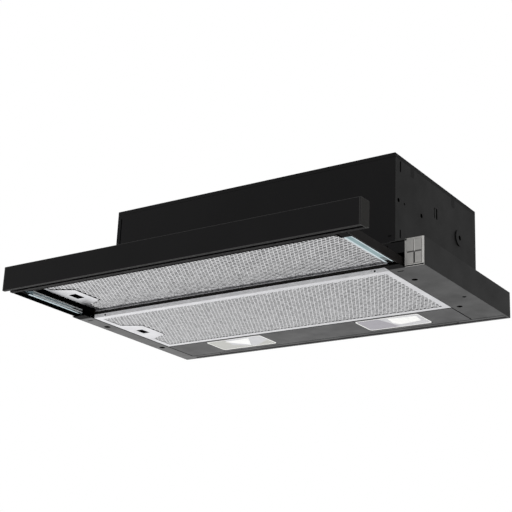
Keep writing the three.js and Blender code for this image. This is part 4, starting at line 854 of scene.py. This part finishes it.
CASING_SHEET = 0.8
# (y0, y1, z0, z1) on the casing's right side
PUNCHED_SLOTS = {"upper": (27.5, 31, 151, 167), "lower": (27.5, 31, 54, 66)}
PRESSED_MARKS = {"front": (60, 70, 155, 170), "rear": (191, 201, 155, 170)}
REAR_SLOT = (133, 143, 118, 134)
SLOT_MARGIN = 1
SLOT_SHADE_DEPTHS = (-0.5, -0.05)  # painted shade behind the slots lies between these, about the sheet's inner face
SLOT_LUG = (-0.4, 0.3)
SLOT_LUG_INSET = 3
MARK_CORNER = 3
MARK_DEPTH = (-0.1, 0.08)  # about the sheet's outer face
# ((x0, x1), (z0, z1)) on the casing's front
CASING_FRONT_MARKS = {
    "slot": ((237.5, 242.5), (52.6, 54.2)),
    "crease": ((-241.4, -239.6), (42, 162)),
}
FRONT_HOLE = (243.7, 32.7, 1.5)  # x, z and radius, in the frame's front


def casing_details():
    """Painted shade behind the slots, the pressed marks, and dark strips of painted shade for the
    front's slot, crease and hole.
    """
    inside = node_box("casing_right_side")[0][1] - CASING_SHEET
    outside = inside + CASING_SHEET
    shade_depths = [inside + depth for depth in SLOT_SHADE_DEPTHS]
    lug = [inside + depth for depth in SLOT_LUG]
    mark = [outside + depth for depth in MARK_DEPTH]
    margin, inset = SLOT_MARGIN, SLOT_LUG_INSET
    for name, (y0, y1, z0, z1) in PUNCHED_SLOTS.items():
        outline = rectangle((y0 - margin, y1 + margin), (z0 - margin, z1 + margin))
        shadow(f"casing_slot_shade_{name}", "x", *shade_depths, outline)
    y0, y1, z0, z1 = REAR_SLOT
    outline = rectangle((y0 + inset, y1 - inset), (z0 - margin, z1 + margin))
    bar("casing_slot_lug", "x", *lug, outline, "side_paint")
    # The pressed marks are plates of a less glossy black than the casing: painted shade for the
    # pressings.
    for name, (y0, y1, z0, z1) in PRESSED_MARKS.items():
        outline = rounded(rectangle((y0, y1), (z0, z1)), MARK_CORNER)
        bar(f"casing_pressed_mark_{name}", "x", *mark, outline, "black_paint")
    front = node_box("casing_front_panel")[1][0]
    for name, (x, z) in CASING_FRONT_MARKS.items():
        shadow(f"casing_front_{name}", "y", front - PROUD, front + SUNK, rectangle(x, z))
    shadow("frame_front_hole", "y", -PROUD, SUNK, circle(*FRONT_HOLE))


FLANGE_SLOTS = {"right": (250.5, 261), "left": (-291.5, -281)}  # along x
FLANGE_SLOT_Y = (10.75, 13.25)
FLANGE_SLOT_SHADE = (0.06, 0.9)
CABINET_HOLES = {"right": 284, "left": -284}
CABINET_HOLE_Y = 153.5
CABINET_HOLE_RADIUS = 2.9
CABINET_HOLE_SHADE = (0.3, 0.9)
REAR_STRIP_X = (-273, 296)
REAR_STRIP_Y = 261.4  # the strip behind the lamp panel starts here
REAR_STRIP_LINES = (("seam", (REAR_STRIP_Y, 262.6), DARK), ("step", (270, 275), DULL))
LAMP_SEAM = {"left": 1.8, "right": 0.9}  # how far each reaches to the left of the panel's end
LAMP_SEAM_RIGHT = 0.5
REAR_FILTER_SEAM = (2.3, 0.3)  # to the left of the rear filter
REAR_FILTER_SEAM_START = 4
SILL_INSET = 0.2
SILL_PROUD = 0.12
SILL_HEIGHTS = (0.02, 1.8)


def underside_line(name, x, y, material=DARK):
    bar(name, "z", *UNDERSIDE, rectangle(x, y), "side_paint", "hood", material)


def underside_details():
    """Painted shade behind the flanges' slots and holes, the seams, and the sill below the control.
    """
    for side, x in FLANGE_SLOTS.items():
        outline = rectangle(x, FLANGE_SLOT_Y)
        shadow(f"flange_slot_shade_{side}", "z", *FLANGE_SLOT_SHADE, outline)
    for side, x in CABINET_HOLES.items():
        hole = circle(x, CABINET_HOLE_Y, CABINET_HOLE_RADIUS)
        shadow(f"cabinet_hole_shade_{side}", "z", *CABINET_HOLE_SHADE, hole)
    for name, y, material in REAR_STRIP_LINES:
        underside_line(f"rear_strip_{name}", REAR_STRIP_X, y, material)
    ends, (front, _), _ = node_box("lamp_panel")
    for (side, reach), x in zip(LAMP_SEAM.items(), ends):
        seam = (x - reach, x + LAMP_SEAM_RIGHT)
        underside_line(f"lamp_panel_seam_{side}", seam, (front, REAR_STRIP_Y))
    (edge, _), (front, rear), _ = node_box("rear_filter_frame")
    seam = [edge - reach for reach in REAR_FILTER_SEAM]
    underside_line("rear_filter_seam_left", seam, (front + REAR_FILTER_SEAM_START, rear))
    (x0, x1), (y0, _), (z0, _) = node_box("control_bezel")
    sill = rectangle((x0 + SILL_INSET, x1 - SILL_INSET), (y0 - SILL_PROUD, y0 + SUNK))
    bar("control_sill", "z", *[z0 + height for height in SILL_HEIGHTS], sill, "side_paint")


# ---------------------------------------------------------------------------------------------
# Control: the bezel's border and the gaps between the four buttons
# ---------------------------------------------------------------------------------------------

BORDER_INSET = 0.3
BORDER_GAP = 0.4  # between the border and the buttons
BORDER_END = 3
ACROSS_GAP = 0.25  # from the buttons to the edges of the gap between upper and lower ones
DOWN_GAP = 0.2  # and between left and right ones
CONTROL_TRIM = (-0.1, 0.05)  # about the bezel's front


def control_seams():
    (x0, x1), (front, _), (z0, z1) = node_box("control_bezel")
    lower_x, lower_z = node_box("control_button_1")[::2]
    right_x = node_box("control_button_2")[0]
    upper_z = node_box("control_button_3")[2]
    top = z1 - BORDER_INSET
    side_border = rectangle((x0 + BORDER_INSET, lower_x[0] - BORDER_GAP), (z0 + BORDER_END, top))
    top_border = rectangle((x0 + BORDER_INSET, x1 - BORDER_END), (upper_z[1] + BORDER_GAP, top))
    across = (lower_z[1] + ACROSS_GAP, upper_z[0] - ACROSS_GAP)
    down = (lower_x[1] + DOWN_GAP, right_x[0] - DOWN_GAP)
    depth = [front + out for out in CONTROL_TRIM]
    bar("control_border_left", "y", *depth, side_border, "grey_plastic")
    bar("control_border_top", "y", *depth, top_border, "grey_plastic")
    seam = rectangle((lower_x[0], right_x[1]), across)
    bar("control_seam_across", "y", *depth, seam, "grey_plastic", "hood", SEAM)
    shadow("control_seam_down", "y", *depth, rectangle(down, lower_z))


casing_details()
underside_details()
control_seams()

# ---------------------------------------------------------------------------------------------
# Screws
# ---------------------------------------------------------------------------------------------

SCREW_SIDES = 24
SCREW_SEAT = 1.0
SMOOTH_ANGLE = 35
CROSS_LONG = 0.55  # the cross recess's arms, as a share of the head's radius
CROSS_SHORT = 0.2
CROSS_TURN = 20  # degrees
CROSS_HALF = 16  # half an arm's width, in degrees
CROSS_TAPER = 0.9


def cross_recess(k):
    turn = (360 * k / SCREW_SIDES + CROSS_TURN) % 90
    return CROSS_LONG if min(turn, 90 - turn) < CROSS_HALF else CROSS_SHORT


# The head's rings: how far out, as a share of its radius, and how far down, as one of its height
SCREW_RINGS = (
    (lambda k: 1.0, 0),
    (lambda k: 0.97, 0.35),
    (lambda k: 0.82, 0.75),
    (lambda k: 0.62, 1.0),
    (cross_recess, 1.0),
    (lambda k: cross_recess(k) * CROSS_TAPER, 0.25),
)


def screw(name, x, y, radius, height=0.8):
    """A domed head that hangs from its seat, with a cross recess."""
    vertices = []
    faces = []
    for share, drop in SCREW_RINGS:
        for k in range(SCREW_SIDES):
            angle = 2 * math.pi * k / SCREW_SIDES
            out = radius * share(k)
            z = SCREW_SEAT - height * drop
            vertices.append(at(x + out * math.cos(angle), y + out * math.sin(angle), z))
    for level in range(len(SCREW_RINGS) - 1):
        for k in range(SCREW_SIDES):
            n = (k + 1) % SCREW_SIDES
            low, high = level * SCREW_SIDES, (level + 1) * SCREW_SIDES
            faces.append((low + k, low + n, high + n, high + k))
    last = (len(SCREW_RINGS) - 1) * SCREW_SIDES
    faces.append(tuple(range(SCREW_SIDES)))
    faces.append(tuple(last + k for k in reversed(range(SCREW_SIDES))))
    solid(name, vertices, faces, DARK, "hood", SMOOTH_ANGLE)


FLANGE_SCREW_RADIUS = 3.3
STRIP_SCREW = (2.6, 0.7)  # radius and height
SHADE_RING_HOLE = 3.1
# x, y and the radius of the ring of painted shade around the screw
FLANGE_SCREWS = {
    "flange_screw_right_front": (258, 52.5, 4.2),
    "flange_screw_right_rear": (258, 193.5, 4.2),
    "flange_screw_left_front": (-286.4, 52.5, 5.0),
    "flange_screw_left_rear": (-286.4, 193.5, 5.0),
}
STRIP_SCREWS = {"strip_screw_left": (-219, 271), "strip_screw_right": (219, 271)}

for name, (x, y, shade_ring_radius) in FLANGE_SCREWS.items():
    screw(name, x, y, FLANGE_SCREW_RADIUS)
    # A ring of painted shade around each flange screw, for the shade in its hole.
    hole = circle(x, y, SHADE_RING_HOLE)
    ring(f"{name}_hole_shade", circle(x, y, shade_ring_radius), hole, UNDERSIDE, DARK)
for name, (x, y) in STRIP_SCREWS.items():
    screw(name, x, y, *STRIP_SCREW)

# ---------------------------------------------------------------------------------------------
# Lamps: what shows through the lenses, as glowing painted highlights
# ---------------------------------------------------------------------------------------------

LILAC = glow("lens_lilac", (0.43, 0.41, 0.46), 0.04)
WARM = glow("lens_warm", (0.60, 0.60, 0.56), 0.10)
PALE_PAINTED_HIGHLIGHT = glow("lens_pale_painted_highlight", (0.64, 0.64, 0.66), 0.18)
BRIGHT_PAINTED_HIGHLIGHT = glow("lens_bright_painted_highlight", (0.86, 0.86, 0.84), 0.40)
# The two lenses' sheets differ by painted light: the left one is paler and glows more.
LENS_BASE = {"left": WARM, "right": LILAC}

# Outlines of the facets of painted highlight, as shares of the lens along x and y
LENS_FACETS = {
    "left": (
        ("pale", PALE_PAINTED_HIGHLIGHT, [(0.35, 0.02), (0.98, 0.02), (0.98, 0.5), (0.62, 0.98), (0.3, 0.6)]),
        ("bright", BRIGHT_PAINTED_HIGHLIGHT, [(0.29, 0.2), (0.75, 0.12), (0.57, 0.82)]),
    ),
    "right": (
        ("pale", PALE_PAINTED_HIGHLIGHT, [(0.36, 0.02), (0.98, 0.02), (0.98, 0.98), (0.5, 0.98), (0.44, 0.5)]),
        (
            "bright",
            BRIGHT_PAINTED_HIGHLIGHT,
            [(0.51, 0.08), (0.56, 0.12), (0.94, 0.18), (0.9, 0.65), (0.55, 0.77), (0.48, 0.54)],
        ),
    ),
}
LENS_SEAT = 0.35  # the frosted sheet lies this far above the lens's underside
LENS_CORNER = 6
LENS_RIM = 1.6
LENS_RIM_BOTTOM = 0.02
LENS_RIM_CORNER = 5
FACET_CORNER = 2
FACET_STEP = 0.1  # each facet lies this far below the one behind it


def lens_facets(side):
    """The frosted sheet, its bright rim, and the facets in front of it; rim and facets are glowing
    painted highlights.
    """
    (x0, x1), (y0, y1), (z0, z1) = node_box(f"lamp_lens_{side}")
    seat = z0 + LENS_SEAT
    outline = rounded(rectangle((x0, x1), (y0, y1)), LENS_CORNER)
    sheet = bar(f"lamp_lens_sheet_{side}", "z", seat, z1, outline, "lens", "hood", LENS_BASE[side])
    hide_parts(f"lamp_lens_{side}")
    inner = rectangle((x0 + LENS_RIM, x1 - LENS_RIM), (y0 + LENS_RIM, y1 - LENS_RIM))
    inner = rounded(inner, LENS_RIM_CORNER)
    top = seat + FACET_STEP
    heights = (z0 + LENS_RIM_BOTTOM, top)
    ring(f"lamp_lens_rim_{side}", outline, inner, heights, BRIGHT_PAINTED_HIGHLIGHT)
    for level, (name, material, shape) in enumerate(LENS_FACETS[side]):
        points = [(x0 + (x1 - x0) * u, y0 + (y1 - y0) * v) for u, v in shape]
        points = rounded(points, FACET_CORNER)
        bottom = seat - FACET_STEP * (level + 1)
        bar(f"lamp_{side}_{name}_facet", "z", bottom, top, points, "lens", "hood", material)


for side in LENS_FACETS:
    lens_facets(side)

# ---------------------------------------------------------------------------------------------
# Cables
# ---------------------------------------------------------------------------------------------

CABLE_RADIUS = 2.5
CONTROL_ROUTE = [
    (285, 90.3, 26),
    (285, 120, 26),
    (285, 239.5, 26),
    (279, 258, 27),
    (255, 271, 29),
    (230, 267, 33),
    (222.7, 254, 44),
    (210.7, 214, 53),
    (208.7, 196, 61.7),
]
MOTOR_ROUTE = [
    (80.3, 162, 103),
    (96, 163, 103),
    (141.2, 178, 87),
    (171.2, 203, 89),
    (185.2, 215, 95),
    (198.9, 215, 95),
]


def smooth_route(points, steps=8):
    """Points along a centripetal Catmull-Rom curve through the route's points, in metres."""
    points = [at(*point) for point in points]
    points = [2 * points[0] - points[1], *points, 2 * points[-1] - points[-2]]
    route = []
    for k in range(1, len(points) - 2):
        p0, p1, p2, p3 = points[k - 1 : k + 3]
        t0 = 0
        t1 = t0 + (p1 - p0).length ** 0.5
        t2 = t1 + (p2 - p1).length ** 0.5
        t3 = t2 + (p3 - p2).length ** 0.5
        for step in range(steps):
            t = t1 + (t2 - t1) * step / steps
            a1 = p0 * (t1 - t) / (t1 - t0) + p1 * (t - t0) / (t1 - t0)
            a2 = p1 * (t2 - t) / (t2 - t1) + p2 * (t - t1) / (t2 - t1)
            a3 = p2 * (t3 - t) / (t3 - t2) + p3 * (t - t2) / (t3 - t2)
            b1 = a1 * (t2 - t) / (t2 - t0) + a2 * (t - t0) / (t2 - t0)
            b2 = a2 * (t3 - t) / (t3 - t1) + a3 * (t - t1) / (t3 - t1)
            route.append(b1 * (t2 - t) / (t2 - t1) + b2 * (t - t1) / (t2 - t1))
    route.append(points[-2])
    return route


def cable(node, points):
    route = smooth_route(points)
    curve = bpy.data.curves.new(f"{node}_sheath", "CURVE")
    curve.dimensions = "3D"
    curve.bevel_depth = CABLE_RADIUS * MM
    curve.bevel_resolution = 6
    curve.use_fill_caps = True
    spline = curve.splines.new("POLY")
    spline.points.add(len(route) - 1)
    for point, place in zip(spline.points, route):
        point.co = (*place, 1)
    curve.materials.append(MATERIALS["rubber"])
    piece = bpy.data.objects.new(f"{node}_sheath", curve)
    bpy.context.scene.collection.objects.link(piece)
    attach(piece, "hood")
    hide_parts(node)


cable("control_cable", CONTROL_ROUTE)
cable("motor_cable", MOTOR_ROUTE)

# ---------------------------------------------------------------------------------------------
# Room: pale floor, white surroundings, soft studio lights
# ---------------------------------------------------------------------------------------------

FLOOR_HEIGHT = -0.75
FLOOR_HALF = 20

# The surroundings' light: between which directions it changes, and its strengths
BELOW_FADE = (-0.22, 0.02)
SWEEP_FADE = (-0.85, -0.45)
SWEEP_LEFT = 1.6
SWEEP_RIGHT = 1.0
CEILING_FADE = (-0.7, 0.7)
CEILING_LEFT = 0.88
CEILING_RIGHT = 0.33


def floor():
    """A pale floor that is clear from below and isn't mirrored in the hood."""
    finish = Finish("floor")
    cloud = finish.span(finish.noise(3, 3), 0, 1)
    finish.made(
        Base_Color=finish.blend(cloud, (0.86, 0.86, 0.86), (0.90, 0.90, 0.90)),
        Roughness=0.8,
        Normal=finish.bump(finish.noise(120, 2), 0.0002),
    )
    mix = finish.add("ShaderNodeMixShader")
    finish.feed(mix, 0, finish.add("ShaderNodeNewGeometry").outputs["Backfacing"])
    finish.feed(mix, 1, finish.shader.outputs["BSDF"])
    finish.feed(mix, 2, finish.add("ShaderNodeBsdfTransparent").outputs["BSDF"])
    finish.feed(finish.tree.nodes["Material Output"], "Surface", mix.outputs["Shader"])
    mesh = bpy.data.meshes.new("floor")
    corners = rectangle((-FLOOR_HALF, FLOOR_HALF), (-FLOOR_HALF, FLOOR_HALF))
    mesh.from_pydata([(x, y, FLOOR_HEIGHT) for x, y in corners], [], [(0, 1, 2, 3)])
    mesh.materials.append(finish.material)
    plane = bpy.data.objects.new("floor", mesh)
    bpy.context.scene.collection.objects.link(plane)
    plane.visible_glossy = False


def surroundings():
    """White to look at. The light is dim from above, most of all at the right, and bright from
    below, most of all from the far left, as over a pale sweep of paper."""
    world = bpy.data.worlds.new("studio")
    bpy.context.scene.world = world
    world.use_nodes = True
    graph = Graph(world.node_tree)
    white = (1, 1, 1, 1)

    def fade(value, low, high, ends):
        return graph.span(value, low, high, *ends, "SMOOTHSTEP")

    towards = graph.add("ShaderNodeSeparateXYZ")
    graph.feed(towards, 0, graph.add("ShaderNodeTexCoord").outputs["Generated"])
    across, _, upwards = towards.outputs
    level = graph.add("ShaderNodeMix", data_type="FLOAT")
    graph.feed(level, 0, fade(upwards, 1, 0, BELOW_FADE))
    graph.feed(level, 2, fade(across, CEILING_LEFT, CEILING_RIGHT, CEILING_FADE))
    graph.feed(level, 3, fade(across, SWEEP_LEFT, SWEEP_RIGHT, SWEEP_FADE))
    lit = graph.tree.nodes["Background"]
    graph.feed(lit, "Color", white)
    graph.feed(lit, "Strength", level.outputs[0])
    seen = graph.add("ShaderNodeBackground")
    graph.feed(seen, "Color", white)
    mix = graph.add("ShaderNodeMixShader")
    graph.feed(mix, 0, graph.add("ShaderNodeLightPath").outputs["Is Camera Ray"])
    graph.feed(mix, 1, lit.outputs["Background"])
    graph.feed(mix, 2, seen.outputs["Background"])
    graph.feed(graph.tree.nodes["World Output"], "Surface", mix.outputs["Shader"])


def softbox(name, place, target, size, power):
    light = bpy.data.lights.new(name, "AREA")
    light.shape = "RECTANGLE"
    light.size, light.size_y = size
    light.energy = power
    lamp = bpy.data.objects.new(name, light)
    lamp.location = place
    lamp.rotation_euler = (Vector(target) - Vector(place)).to_track_quat("-Z", "Y").to_euler()
    bpy.context.scene.collection.objects.link(lamp)


floor()
surroundings()
softbox("key", (0.4, -2.2, 1.6), (0, 0, 0.05), (1.6, 1.2), 14)
softbox("back", (-1.5, 1.4, 1.6), (0, 0, 0.1), (1.4, 1.4), 14)
